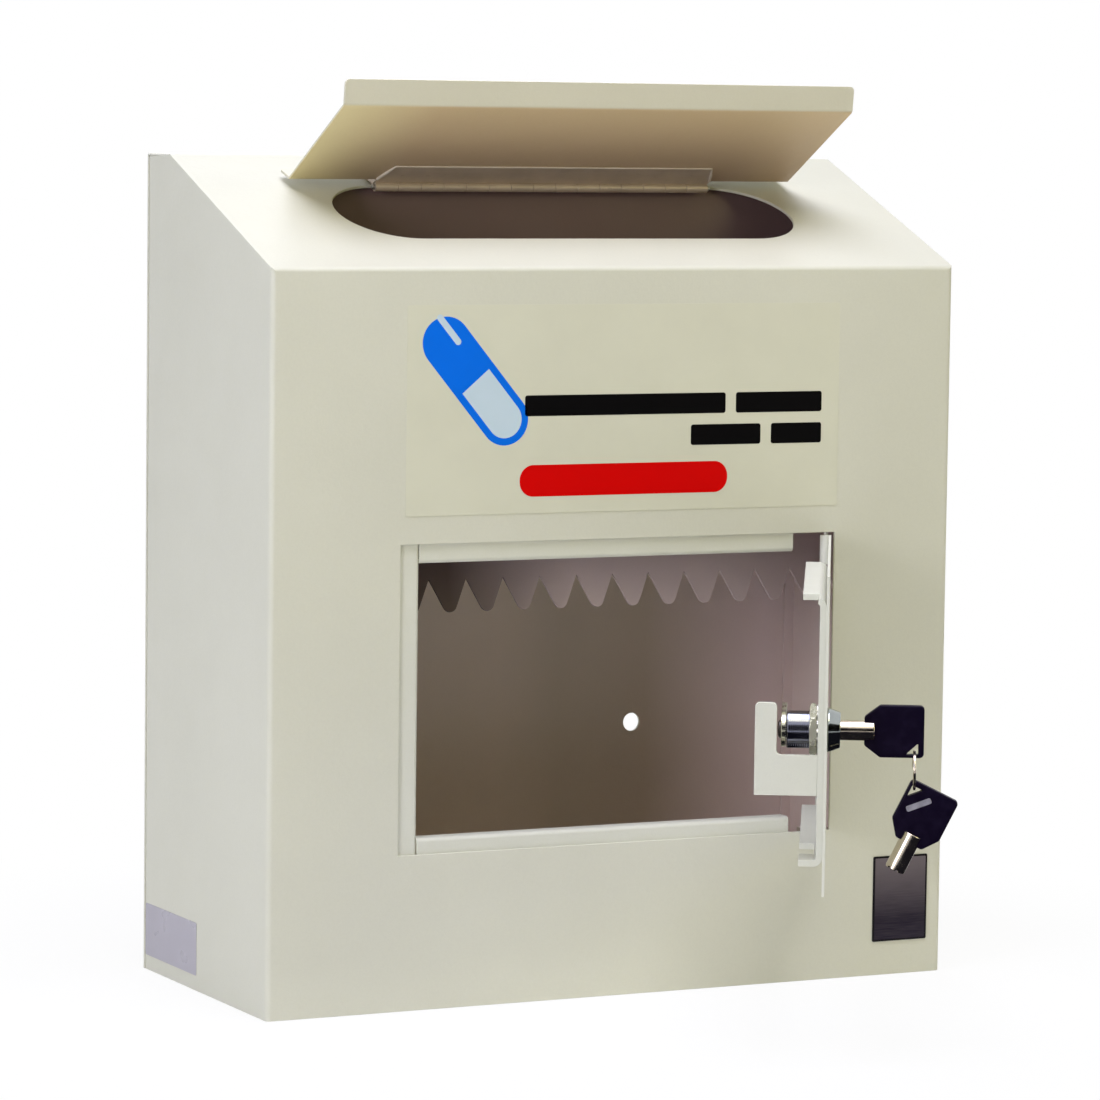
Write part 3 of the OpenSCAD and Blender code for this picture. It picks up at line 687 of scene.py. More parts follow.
# Plate with a convex outline and a convex hole round one middle: rings out over the rim and back through
# the hole, on spokes that meet every corner and lie at least nearest apart
def holedPlate(outline, hole, middle, z0, z1, r, holeR=0.3, spokes=90, nearest=0.01):
    p, q = np.asarray(outline, float) - middle, np.asarray(hole, float) - middle
    angles = list(np.arctan2(p[:, 1], p[:, 0]))
    for turn in [*np.arctan2(q[:, 1], q[:, 0]), *np.linspace(-math.pi, math.pi, spokes, endpoint=False)]:
        if min(abs(math.remainder(turn - one, math.tau)) for one in angles) > nearest:
            angles.append(turn)
    angles = np.sort(angles)
    inset, height = rimRings(z0, z1, r)
    rim, bore = rimRings(z0, z1, holeR)
    reach = np.array([reachOf(p, angles, i) for i in inset] + [reachOf(q, angles, -i) for i in rim[::-1]])
    z = np.broadcast_to(np.concatenate([height, bore[::-1]])[:, None], reach.shape)
    points = np.stack([middle[0] + reach * np.cos(angles), middle[1] + reach * np.sin(angles), z], -1)
    return points.reshape(-1, 3), gridFaces(len(reach), len(angles), closeRows=True, closeCols=True)


# Makes the faces of closed solids point outwards
def recalculate(piece):
    work = bmesh.new()
    work.from_mesh(piece.data)
    bmesh.ops.recalc_face_normals(work, faces=work.faces)
    work.to_mesh(piece.data)
    work.free()


# Joins several (points, faces) or (points, faces, caps) shapes into one piece
def joined(name, shapes, body, material, slot, sharp=None):
    points, faces, caps, start = [], [], [], 0
    for shape in shapes:
        some, quads, *more = shape
        points.append(np.asarray(some, float).reshape(-1, 3))
        faces.append(np.asarray(quads, int).reshape(-1, 4) + start)
        caps += [[i + start for i in cap] for cap in (more[0] if more else ())]
        start += len(points[-1])
    points, faces = np.concatenate(points), np.concatenate(faces)
    piece = meshPiece(name, points, faces, body, material, slot, sharp=sharp, caps=caps)
    recalculate(piece)
    return evenShade(piece)


# Cuts a section's sides where one of their coordinates passes a value
def splitAt(section, axis, value):
    a = section[0][:, axis]
    hits = np.nonzero((a[:-1] - value) * (a[1:] - value) < 0)[0]
    share = ((value - a[hits]) / (a[hits + 1] - a[hits]))[:, None]
    return tuple(np.insert(p, hits + 1, p[hits] + share * (p[hits + 1] - p[hits]), 0) for p in section)


def rectangle(x0, x1, z0, z1):
    return [[x0, z0], [x1, z0], [x1, z1], [x0, z1]]


print("surface tools")

# Frames of the moving groups

# x, s up the slope and n off it, as x, y, z
def onSlope(x, s, n):
    y = frontY + s * slopeUp[0] + n * slopeOut[0]
    z = box["front"] + s * slopeUp[1] + n * slopeOut[1]
    return np.stack([x, y, z], 1)


def turnX(angle):
    c, s = math.cos(math.radians(angle)), math.sin(math.radians(angle))
    return np.array([[1, 0, 0], [0, c, -s], [0, s, c]])


def turnZ(angle):
    c, s = math.cos(math.radians(angle)), math.sin(math.radians(angle))
    return np.array([[c, -s, 0], [s, c, 0], [0, 0, 1]])


door = {
    "open": 60.3, "pivot": (115.3, frontY + 2.8), "width": 220.1, "thick": 1.2, "low": 76.6, "high": 222.1,
    "knuckle": 2.8, "knuckleLong": 14.5, "knuckleBore": 1.3,
    "holeR": 9.6, "holeFlat": 8.1,  # the lock's hole, and half the distance across its two flats
}
# the ring hangs from the point at hang, as y and z of the lock's frame
lock = {"across": 190, "height": 149, "hang": (-8.95, 40.05), "ring": 8.8, "wire": 1.8, "spareTilt": 64}


# Door drawn shut, hinge axis at the origin, to its open place
def onDoor(points):
    return np.asarray(points, float) @ turnZ(door["open"]).T + np.array([*door["pivot"], 0])


# Lock: z out of the door's face, y up, x towards the hinge
def onLock(points):
    place = np.array([-lock["across"], -door["knuckle"], lock["height"]])
    return onDoor(np.asarray(points, float) @ turnX(90).T + place)


# Spare key, from the first key's place to where it hangs on the ring
def onSpare(points):
    y, z = lock["hang"]
    hung = (np.asarray(points, float) - [0, y, z]) @ turnZ(180).T @ turnX(-lock["spareTilt"]).T
    return onLock(hung + [0, y - 2 * lock["ring"], z])


# Body

# Front and sides: the U section's points carried up from the floor. The top row follows the slope,
# and the cells of the door opening are left out.
def makeBodyWrap():
    t, flange, y = box["sheet"], box["backFlange"], backY - box["sheet"]
    corners = [[flange - halfW, y], [-halfW, y], [-halfW, frontY],
               [halfW, frontY], [halfW, y], [halfW - flange, y]]
    section = foldedSection(corners, t, [box["backFold"], box["fold"], box["fold"], box["backFold"]])
    # more points where the ledge begins and at the sides of the opening
    section = splitAt(section, 1, frontY + run + t * math.tan(slopeA / 2))
    for side in ("left", "right"):
        section = splitAt(section, 0, opening[side])
    drawn = section[0]
    n = len(drawn)
    atOpening = int(np.argmin(np.abs(drawn[:, 0] - opening["left"]) + np.abs(drawn[:, 1] - frontY)))
    underHood = box["front"] - t / math.cos(slopeA) + (drawn[:, 1] - frontY) * math.tan(slopeA)
    underHood = np.minimum(underHood, box["height"] - t)
    foldTop = box["front"] - cornerR * math.tan((math.pi / 2 - slopeA) / 2)
    roof = np.where(drawn[:, 1] < frontY + 0.01, foldTop, underHood)
    stations = np.stack([np.zeros(n), np.full(n, opening["low"]), np.full(n, opening["high"]), roof], 1)
    keep = np.ones((n - 1, 3), bool)
    keep[atOpening, 1] = False
    points, faces = foldedSheet(section, stations, alongZ, keep)
    piece = meshPiece("bodyWrap", points, faces, "box", creamPaintShadedInside, "body_paint")

    # the opening's edges, the foot and the rear flanges
    def rounded(p):
        x, y, z = p.T
        inWidth = (x > opening["left"] - 1) & (x < opening["right"] + 1)
        inHeight = (z > opening["low"] - 1) & (z < opening["high"] + 1)
        return (np.abs(y - frontY) < 2) & inWidth & inHeight | (z < 1) | (y > backY - 4)

    roundEdges(piece, 0.35, rounded)
    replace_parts(piece, "body_wrap")


slot = {"length": 247, "width": 65, "rear": 100.2}  # rear: up the slope from the front edge
# the three in the middle are counts of the net's lines
hood = {"flange": 12, "acrossEnd": 14, "acrossMiddle": 9, "upSlope": 15, "ring": 0.35}


# Nearest point of the oval slot's edge to each point of the slope
def slotEdge(x, s):
    half, r, mid = (slot["length"] - slot["width"]) / 2, slot["width"] / 2, slot["rear"] - slot["width"] / 2
    core = np.clip(x, -half, half)
    dx, ds = x - core, s - mid
    reach = np.hypot(dx, ds)
    return core + r * dx / reach, mid + r * ds / reach


# Hood: a ring of quads from the slot's edge to the slope's outline, then the rounds and the ledge as strips
# that share its points. The inner skin is the same net one sheet lower.
def makeHood():
    t = box["sheet"]
    ledge, fold = [frontY + run, box["height"]], [frontY, box["front"]]
    corners = [[backY, box["height"]], ledge, fold, [frontY, box["front"] - hood["flange"]]]
    drawn, other = (skin[:-1] for skin in foldedSection(corners, t, box["fold"]))
    top = int(np.argmax(np.linalg.norm(np.diff(drawn, axis=0), axis=1)))  # where the slope's flat begins
    sRear, sFront = ((p - np.array(fold)) @ slopeUp for p in (drawn[top], drawn[top + 1]))
    half = (slot["length"] - slot["width"]) / 2
    end = np.linspace(half, halfW, hood["acrossEnd"])
    xs = np.unique(np.round(np.concatenate([-end, np.linspace(-half, half, hood["acrossMiddle"]), end]), 5))
    ss = np.linspace(sFront, sRear, hood["upSlope"])
    edge = np.concatenate([
        np.stack([xs[:-1], np.full(len(xs) - 1, sFront)], 1),
        np.stack([np.full(len(ss) - 1, halfW), ss[:-1]], 1),
        np.stack([xs[::-1][:-1], np.full(len(xs) - 1, sRear)], 1),
        np.stack([np.full(len(ss) - 1, -halfW), ss[::-1][:-1]], 1)])
    share = np.array([0, hood["ring"], 1])[None, :, None]
    flat = (np.stack(slotEdge(*edge.T), 1)[:, None] * (1 - share) + edge[:, None] * share).reshape(-1, 2)
    ringFaces = gridFaces(len(edge), 3, closeRows=True)

    def patches(line, depth):
        yield onSlope(flat[:, 0], flat[:, 1], np.full(len(flat), -depth)), ringFaces
        for strip in (line[:top + 1], line[top + 1:]):
            ys, zs = np.repeat(strip, len(xs), axis=0).T
            points = alongX(ys, zs, np.tile(xs, len(strip)))
            yield points, gridFaces(len(strip), len(xs))

    outerPatches, innerPatches = list(patches(drawn, 0)), list(patches(other, t))
    outer, faces = weld(*outerPatches)
    # the inner skin follows the outer one's welding, so both nets match point for point
    everyOuter, everyInner = (np.concatenate([p for p, f in skin]) for skin in (outerPatches, innerPatches))
    inner = everyInner[np.unique(np.round(everyOuter, 4), axis=0, return_index=True)[1]]
    # the front corners follow the round of the body's folds
    for skin in (outer, inner):
        near = np.clip(frontY + cornerR - skin[:, 1], 0, cornerR)
        reach = halfW - (cornerR - np.sqrt(cornerR ** 2 - near ** 2))
        skin[:, 0] = np.clip(skin[:, 0], -reach, reach)
    points, faces = closeSheet(outer, inner, orientUp(outer, faces[:, ::-1]))
    piece = meshPiece("topHood", points, faces, "box", creamPaintShadedInside, "body_paint")

    # the ends of the slope and ledge, the slot's rim and the rear edge
    def rounded(p):
        x, y, z = p.T
        atEnd = (np.abs(x) > halfW - 1) & (z > box["front"] + (y - frontY) * math.tan(slopeA) - 0.9)
        inSlot = (np.abs(x) < slot["length"] / 2 + 1) & (y < 40) & (y > frontY + 20)
        return atEnd & (y > frontY + 3) | inSlot | (y > backY - 1)

    roundEdges(piece, 0.3, rounded)
    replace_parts(piece, "top_hood")


# Turns each quad so that its normal points up or forward
def orientUp(points, faces):
    a, b, c, d = points[faces].transpose(1, 0, 2)
    normal = np.cross(c - a, d - b)
    wrong = normal[:, 2] - normal[:, 1] < 0
    faces = faces.copy()
    faces[wrong] = faces[wrong][:, ::-1]
    return faces


baffle = {
    "at": 103.3, "tilt": 14.5, "width": 363, "thick": 1.2, "tip": 186, "flange": 12,
    "teeth": 18, "pitch": 20, "depth": 16.5, "tipR": 3.6,
    "perTooth": 20, "band": 12,  # points along a tooth, and the height of the finer net above the teeth
}


# Height of the comb's edge below its plain part: straight flanks into a round tip, worked out along x
def combEdge(x):
    pitch, r, drop = baffle["pitch"], baffle["tipR"], baffle["depth"] - baffle["tipR"]
    reach = math.hypot(pitch / 2, drop)
    flank = math.atan2(drop, pitch / 2) + math.asin(r / reach)
    touch = pitch / 2 - math.sqrt(reach ** 2 - r ** 2) * math.cos(flank)
    # distance from the nearest tooth's middle: teeth stand on odd tens
    u = pitch / 2 - np.abs((x + pitch / 2) % pitch - pitch / 2)
    straight = (pitch / 2 - u) * math.tan(flank)
    rounded = drop + np.sqrt(np.maximum(r ** 2 - u ** 2, 0))
    return np.where(u > touch, straight, rounded)


# Painted shade and light on the baffle: dark tones for shade at the top and left, a pale one for light along
# the comb
baffleShade = {
    "high": tint(120, 98, 96), "left": tint(90, 74, 69), "right": tint(196, 178, 176),
    "across": (-70 * mm, 0), "up": (215 * mm, 260 * mm),  # where one tone fades into the next
}


# Painted shade and light: dark at the top and the left, paler to the right along the comb
def coatOfBaffleWithShade(made):
    x, y, z = made.axes()
    comb = made.fade(x, baffleShade["left"], baffleShade["right"], *baffleShade["across"])
    return made.fade(z, comb, baffleShade["high"], *baffleShade["up"])


# the baffle's paint carries that painted shade and light
bafflePaintWithShade = powderCoat("bafflePowderCoatWithShade", baffleShade["high"], peel=0.25, patch=0.03, paintedShadeOf=coatOfBaffleWithShade)


# Baffle: rows run from the flange down to the comb, whose last row follows combEdge
def makeBaffle():
    t, half, tilt = baffle["thick"], baffle["width"] / 2, math.radians(baffle["tilt"])
    rootZ = box["front"] + baffle["at"] * math.sin(slopeA) - box["sheet"] * math.cos(slopeA)
    plain = (rootZ - baffle["tip"]) / math.cos(tilt) - baffle["depth"]
    ends = baffle["teeth"] * baffle["pitch"] / 2
    fine = np.linspace(-ends, ends, baffle["teeth"] * baffle["perTooth"] + 1)
    x = np.unique(np.round(np.concatenate([[-half, half], fine]), 5))
    edge = np.where(np.abs(x) < ends, combEdge(np.clip(x, -ends, ends)), 0.0)
    fromBand = [plain - baffle["band"] + (baffle["band"] + edge) * share for share in (0, 0.5, 1)]
    down = np.stack([np.zeros_like(x)] + fromBand)
    root = onSlope(np.zeros(1), np.array([baffle["at"]]), np.array([-box["sheet"]]))[0, 1:]
    way = np.array([-math.sin(tilt), -math.cos(tilt)])
    out = np.array([-math.cos(tilt), math.sin(tilt)])

    def skin(depth):
        rows = root + down[..., None] * way + depth * out
        return np.stack([np.broadcast_to(x, down.shape), rows[..., 0], rows[..., 1]], -1).reshape(-1, 3)

    def underSlope(u, v, s):
        return onSlope(s, baffle["at"] + u, -box["sheet"] - v)

    points, faces = closeSheet(skin(0), skin(-t), gridFaces(len(down), len(x))[:, ::-1])
    lip = foldedSection([[0, 0], [baffle["flange"], 0]], t, 0)
    lipPoints, lipFaces = foldedSheet(lip, [-half, half], underSlope)
    lipFaces = lipFaces + len(points)
    points, faces = np.concatenate([points, lipPoints]), np.concatenate([faces, lipFaces])
    piece = meshPiece("throatBaffle", points, faces, "box", bafflePaintWithShade, "body_paint")
    recalculate(piece)
    piece.data.set_sharp_from_angle(angle=math.radians(30))
    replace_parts(piece, "throat_baffle")


jamb = {
    "show": 9.2, "past": 1.3, "lap": 7, "leg": 16.8, "crossLeg": 8, "gap": 22.5,
    "fold": 0.6, "edge": 0.25,
}


# Angle behind an edge of the opening: its section carried along its length
def foldedAngle(name, path, ends, along):
    points, faces = foldedSheet(foldedSection(path, box["sheet"], jamb["fold"]), ends, along)
    piece = meshPiece(name, points, faces, "box", ivoryPaint, "trim_paint")
    recalculate(piece)
    return roundEdges(piece, jamb["edge"])


def makeJambs():
    t, y, lap = box["sheet"], frontY + box["sheet"], jamb["lap"]
    x = opening["left"] + jamb["show"] + jamb["past"]
    path = [[opening["left"] - lap, y], [x, y], [x, y + jamb["leg"]]]
    piece = foldedAngle("latchJamb", path, [opening["low"] - lap, opening["high"] + lap], alongZ)
    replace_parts(piece, "latch_jamb")
    cross = (("topJamb", "top_jamb", opening["high"] - jamb["show"], 1),
             ("bottomJamb", "bottom_jamb", opening["low"] + jamb["show"] - t, -1))
    for name, node, edge, way in cross:
        path = [[y, edge + way * (jamb["show"] + lap)], [y, edge], [y + jamb["crossLeg"], edge]]
        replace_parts(foldedAngle(name, path[::way], [x, opening["right"] - jamb["gap"]], alongX), node)


makeBodyWrap()
makeHood()
makeBaffle()
makeJambs()
print("body")

# Flap

flap = {
    "open": 50.5, "width": 275.6, "plate": 74.5, "thick": 1.2, "corner": 2.4,
    "frontLip": 12.7, "frontTurn": 53.8, "rearLip": 12.5, "rearTurn": 46.8,
    "axisS": 97.3, "axisN": 0.45, "up": 2.25, "back": 3.1,  # hinge axis on the slope, and the flap from it
}


# From the flap's own frame, y back from the rear fold and z off its underside, to the open place
def onFlap(points):
    p = np.asarray(points, float) + [0, -flap["back"], flap["up"]]
    p = p @ turnX(-flap["open"]).T
    return onSlope(p[:, 0], flap["axisS"] + p[:, 1], flap["axisN"] + p[:, 2])


# Plain cream for the edge; painted shade under the flap: khaki tones for the shade beneath the plate, a paler
# one at the left for more light
flapColourAndShade = {
    "edge": tint(212, 208, 186), "front": tint(208, 184, 142),
    "rear": tint(188, 162, 134), "left": tint(228, 214, 164),
    "across": (-140 * mm, -85 * mm), "off": (0.05 * mm, 0.6 * mm),  # where one tone fades into the next
}


# Cream all over but for the plate's underside, which carries painted shade: khaki, deeper to the rear and paler
# at the left.
# The underside is where the height off it, along the flap's own z, is near nothing
def coatOfFlapWithShade(made):
    origin, ahead, off = onFlap([[0, 0, 0], [0, 1, 0], [0, 0, 1]])
    height, back = (made.measured(origin * mm, way - origin) for way in (off, ahead))
    tone = made.fade(back, flapColourAndShade["front"], flapColourAndShade["rear"], -flap["plate"] * mm, 0)
    tone = made.fade(made.axes()["X"], flapColourAndShade["left"], tone, *flapColourAndShade["across"])
    return made.fade(height, tone, flapColourAndShade["edge"], *flapColourAndShade["off"])


# the flap's paint carries the painted shade on its underside
flapPaintShadedUnder = powderCoat("flapPowderCoatShadedUnder", flapColourAndShade["edge"], peel=0.3, paintedShadeOf=coatOfFlapWithShade)


# Flap: the folded section carried across; the half width shrinks along a quarter circle at the lips' ends
def makeFlap():
    front, rear, r = math.radians(flap["frontTurn"]), math.radians(flap["rearTurn"]), flap["corner"]
    path = [[-flap["plate"] - flap["frontLip"] * math.cos(front), flap["frontLip"] * math.sin(front)],
            [-flap["plate"], 0], [0, 0],
            [flap["rearLip"] * math.cos(rear), flap["rearLip"] * math.sin(rear)]]
    # extra rows inside the corner's reach at both ends
    near = r * (1 - np.cos(np.linspace(0, math.pi / 2, 7)[1:]))
    section = []
    for skin in foldedSection(path, flap["thick"], box["fold"]):
        head = skin[0] + near[:, None] * unit(skin[1] - skin[0])
        tail = skin[-1] + near[:, None] * unit(skin[-2] - skin[-1])
        section.append(np.concatenate([skin[:1], head, skin[1:-1], tail[::-1], skin[-1:]]))
    between = len(section[0]) - 2 * len(near) - 2
    fromEnd = np.concatenate([[0], near, np.full(between, r), near[::-1], [0]])
    half = flap["width"] / 2 - (r - np.sqrt(np.maximum(r ** 2 - (r - fromEnd) ** 2, 0)))
    points, faces = foldedSheet(section, half[:, None] * np.linspace(-1, 1, 9), alongX)
    piece = meshPiece("flapPanel", onFlap(points), faces, "flap", flapPaintShadedUnder, "body_paint")
    recalculate(piece)
    roundEdges(piece, 0.3)
    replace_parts(piece, "flap_panel")


makeFlap()
print("flap")

hinge = {
    "length": 184, "barrel": 4.5, "leaf": 0.9, "wide": 18, "knuckles": 15, "gap": 0.1,
    "clip": 5, "clipFrom": 6,  # the moving leaf's clipped corners, along it and from the axis
    "bead": 0.42, "swell": 0.45, "ripple": 0.06,  # the weld's radius, what its ends add, and its unevenness
}


# Point on the hinge's own axis, at x along it, y up the slope and z off it, turned by angle degrees
def onHinge(points, angle=0.0):
    p = np.asarray(points, float) @ turnX(angle).T
    return onSlope(p[:, 0], flap["axisS"] + p[:, 1], flap["axisN"] + p[:, 2])


# Knuckles along X: every second one, from the given one
def knuckles(start):
    pitch, r, gap = hinge["length"] / hinge["knuckles"], hinge["barrel"] / 2, hinge["gap"]
    profile = [[r / 2, gap], [r, gap], [r, pitch - gap], [r / 2, pitch - gap]]
    tube, faces = lathe(softProfile(profile, 0.25), 32)
    lying = tube[:, [2, 0, 1]]
    places = [i * pitch - hinge["length"] / 2 for i in range(start, hinge["knuckles"], 2)]
    return [(lying + [x, 0, 0], faces) for x in places]


# Bead round the moving leaf's free edge: rings along its path, thicker towards both ends, with a fine ripple
def makeHingeWeld():
    half, wide, clip, across = hinge["length"] / 2, hinge["wide"], hinge["clip"], 10
    path = np.array([[0.3 - half, -5], [clip - half, -wide], [half - clip, -wide], [half - 0.3, -5]])
    share = np.concatenate([np.linspace(0, 1, 13)[:-1], np.linspace(1, 2, 181)[:-1], np.linspace(2, 3, 13)])
    line = np.stack([np.interp(share, range(4), path[:, k]) for k in (0, 1)], 1)
    swell = np.clip(np.abs(share - 1.5) * 2 - 1.0, 0, 1)
    ripple = np.sin(share * 61) * np.sin(share * 23)
    radius = (hinge["bead"] + hinge["swell"] * swell + hinge["ripple"] * ripple)[:, None]
    side = np.gradient(line, axis=0)
    side = np.stack([-side[:, 1], side[:, 0]], 1) / np.linalg.norm(side, axis=1)[:, None]
    turn = np.linspace(0, 2 * math.pi, across, endpoint=False)
    flat = line[:, None] + side[:, None] * (radius * np.cos(turn))[..., None]
    height = flap["up"] - hinge["leaf"] * 0.6 + radius * np.sin(turn)
    bead = onHinge(np.concatenate([flat, height[..., None]], -1).reshape(-1, 3), -flap["open"])
    last = len(bead)
    caps = [range(across), range(last - 1, last - 1 - across, -1)]
    shape = (bead, gridFaces(len(line), across, closeCols=True), caps)
    joined("flapHingeWeld", [shape], "flap", weldPaint, "steel", 60)


# Piano hinge: two leaves with their knuckles in turn, and a pin whose domed ends stand out
def makeHinge():
    half, r, t, wide = hinge["length"] / 2, hinge["barrel"] / 2, hinge["leaf"], hinge["wide"]
    low, clip = hinge["clipFrom"], hinge["clip"]
    clipped = [[-half, -0.4], [-half, -low], [clip - half, -wide],
               [half - clip, -wide], [half, -low], [half, -0.4]]
    moving = slab(clipped, flap["up"] - t, flap["up"], 0.2)
    fixed = slab(rectangle(-half, half, r / 2 + 0.4, wide), -t / 2, t / 2, 0.2)
    leaves = (("flapHingeMovingLeaf", "flap_hinge_moving_leaf", "flap", moving, 1, -flap["open"]),
              ("flapHingeFixedLeaf", "flap_hinge_fixed_leaf", "box", fixed, 0, 0))
    for name, node, body, leaf, start, angle in leaves:
        shapes = [(onHinge(shape[0], angle), *shape[1:]) for shape in [leaf] + knuckles(start)]
        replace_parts(joined(name, shapes, body, hingeSteel, "steel"), node)
    makeHingeWeld()
    pinR = r * 0.55
    profile = [[0, -half - 1.3], [pinR, -half - 1.2], [pinR, half + 1.2], [0, half + 1.3]]
    pin, faces = lathe(softProfile(profile, 0.5), 24, False)
    pinPiece = joined("flapHingePin", [(onHinge(pin[:, [2, 0, 1]]), faces)], "box", zincSteel, "steel")
    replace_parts(pinPiece, "flap_hinge_pin")


makeHinge()
print("hinge")

# Door

backing = {"near": -204.5, "far": -25, "thick": 3, "height": 123, "flange": 7.9, "notch": (-185, -152)}
guard = {"thick": 2.5, "reach": 28.6, "arm": 10, "top": 13.8, "foot": -10, "low": 28.7, "corner": 2.2}


# Door skin: rings round the lock's hole, whose flats face up and down, and two rolled knuckles on
# the hinge axis
def makeDoorPanel():
    k, tall, bore, wide = door["knuckle"], door["knuckleLong"], door["knuckleBore"], door["holeR"]
    turn = np.linspace(-math.pi, math.pi, 72, endpoint=False)
    middle = np.array([-lock["across"], lock["height"]])
    upright = np.clip(wide * np.sin(turn), -door["holeFlat"], door["holeFlat"])
    hole = middle + np.stack([wide * np.cos(turn), upright], 1)
    skin = rectangle(-door["width"], 0, door["low"], door["high"])
    points, faces = holedPlate(skin, hole, middle, -k, -k + door["thick"], 0.01)
    shapes = [(points[:, [0, 2, 1]], faces)]
    for z in (door["low"], door["high"] - tall):
        shapes.append(lathe(softProfile([[bore, z], [k, z], [k, z + tall], [bore, z + tall]], 0.25), 40))
    shapes = [(onDoor(points), faces) for points, faces in shapes]
    piece = joined("doorPanel", shapes, "door", doorPaint, "body_paint")
    piece.modifiers.clear()
    roundEdges(piece, 0.3)
    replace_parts(piece, "door_panel")


# Backing plate: its section carried along the door, without the cells of the notch and of the short
# upper flange
def makeDoorBacking():
    t, middle = backing["thick"], (door["low"] + door["high"]) / 2
    y0 = door["thick"] - door["knuckle"]
    y1 = y0 + t + backing["flange"]
    z0, z1 = middle - backing["height"] / 2, middle + backing["height"] / 2
    drawn, other = foldedSection([[y1, z1], [y0, z1], [y0, z0], [y1, z0]], t, box["fold"])
    stations = [backing["near"], *backing["notch"], backing["far"]]
    keep = np.ones((len(drawn) - 1, 3), bool)
    centre = (drawn[1:] + drawn[:-1]) / 2
    onFlange = centre[:, 0] > y0 + t
    keep[onFlange & (centre[:, 1] > middle), 0] = False
    keep[onFlange & (centre[:, 1] < middle), 1] = False
    points, faces = foldedSheet((drawn, other), stations, alongX, keep)
    piece = meshPiece("doorBacking", onDoor(points), faces, "door", ivoryPaint, "trim_paint")
    recalculate(piece)
    roundEdges(piece, 0.3)
    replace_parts(piece, "door_backing")


# Guard: a foot and an upright arm in one outline across the lock, with the notch for the cam between.
# The three corners of the foot stay square.
def makeGuard():
    y0 = door["thick"] + backing["thick"] - door["knuckle"]
    y1, armY, z, r = y0 + guard["reach"], y0 + guard["reach"] - guard["arm"], lock["height"], guard["corner"]
    low, foot, top = z - guard["low"], z + guard["foot"], z + guard["top"]
    arm = roundCorners([[y1, low], [y1, top], [armY, top], [armY, foot], [y0, foot], [y0, low]], r)
    square = np.array([[y1, low], [y0, foot], [y0, low]])
    kept = arm[np.linalg.norm(arm[:, None] - square, axis=2).min(1) > r + 1]
    outline = np.concatenate([square[:1], kept, square[1:]])
    points, faces, caps = slab(outline, backing["near"], backing["near"] + guard["thick"], 0.35)
    shape = (onDoor(points[:, [2, 0, 1]]), faces, caps)
    piece = joined("lockGuard", [shape], "door", ivoryPaint, "trim_paint")
    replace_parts(piece, "lock_guard")


makeDoorPanel()
makeDoorBacking()
makeGuard()
print("door")

# Lock

lock.update({
    "head": 6, "headBase": 10.2, "headTop": 8.2, "headBore": 4.78, "keyway": 5.3,
    "barrelR": 9.5, "barrelBore": 6.05, "flat": 8, "barrelEnd": -18.5,
    "threadPitch": 1.0, "threadDepth": 0.06,
    "nutAcross": 21, "nutTop": -4.8, "nutThick": 3.3, "washerR": 10.9, "washerWave": 0.5, "washerThick": 0.6,
    "camTop": -18.8, "camThick": 2.2, "camLong": 38, "camHalf": 8, "screwR": 4.2,
    "tubeR": 4.7, "bore": 3.7, "tubeStart": 3, "tubeEnd": 21.8, "tubeCuts": 7, "cutR": 0.8,
})


# Tapered head with a rolled rim; threaded barrel with flats above and below: r = min(thread, flat / |sin|)
def makeLockBody():
    base, top, bore, tall = lock["headBase"], lock["headTop"], lock["headBore"], lock["head"]
    profile = [[bore, 0.02], [base, 0.02], [base, 0.9], [top, tall],
               [lock["keyway"], tall], [bore, tall - 0.5]]
    head, headFaces = lathe(softProfile(profile, 0.35))
    end, pitch = lock["barrelEnd"], lock["threadPitch"]
    z = np.arange(end + 0.5, -0.1, pitch / 4)
    thread = lock["barrelR"] - lock["threadDepth"] * np.abs((z % pitch) - pitch / 2) * 2
    turn = np.linspace(0, 2 * math.pi, 96, endpoint=False)
    flat = lock["flat"] / np.maximum(np.abs(np.sin(turn)), 1e-3)
    rings = np.concatenate([[lock["barrelBore"], lock["barrelR"] - 0.9], thread, [lock["barrelBore"]]])
    height = np.concatenate([[end, end], z, [-0.1]])
    barrel, barrelFaces = polarNet(np.minimum(rings[:, None], flat), height[:, None], len(turn))
    piece = joined("lockHead", [(onLock(head), headFaces)], "door", brightChrome, "lock_chrome")
    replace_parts(piece, "lock_housing")
    joined("lockBarrel", [(onLock(barrel), barrelFaces)], "door", barrelSteel, "lock_chrome", 40)


# Nut: a hexagon, corner up, met by a cone at both faces; star washer with a waved rim
def makeNutAndWasher():
    half, top, thick = lock["nutAcross"] / 2, lock["nutTop"], lock["nutThick"]
    turn = np.linspace(0, 2 * math.pi, 144, endpoint=False)
    hexagon = half / np.cos((turn + math.pi / 6) % (math.pi / 3) - math.pi / 6)
    depth = np.array([0, 0.2, 0.45, 0.8])
    z = np.concatenate([top - thick + depth, top - depth[::-1]])
    cone = half * 1.02 + np.minimum(z - top + thick, top - z) * 1.9
    outer = np.minimum(hexagon, cone[:, None])
    bore = np.full((2, len(turn)), lock["barrelR"] + 0.05)
    height = np.concatenate([z, [top, top - thick]])
    nut, nutFaces = polarNet(np.concatenate([outer, bore]), height[:, None], len(turn))
    piece = joined("lockNut", [(onLock(nut), nutFaces)], "door", nutSteel, "lock_chrome", 32)
    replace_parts(piece, "lock_nut")
    wave = lock["washerR"] + lock["washerWave"] * np.cos(18 * turn)
    rings = np.stack([wave, wave, *bore])
    above = top + lock["washerThick"]
    washer, washerFaces = polarNet(rings, np.array([top, above, above, top])[:, None], len(turn))
    piece = joined("lockWasher", [(onLock(washer), washerFaces)], "door", zincSteel, "steel", 35)
    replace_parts(piece, "lock_washer")


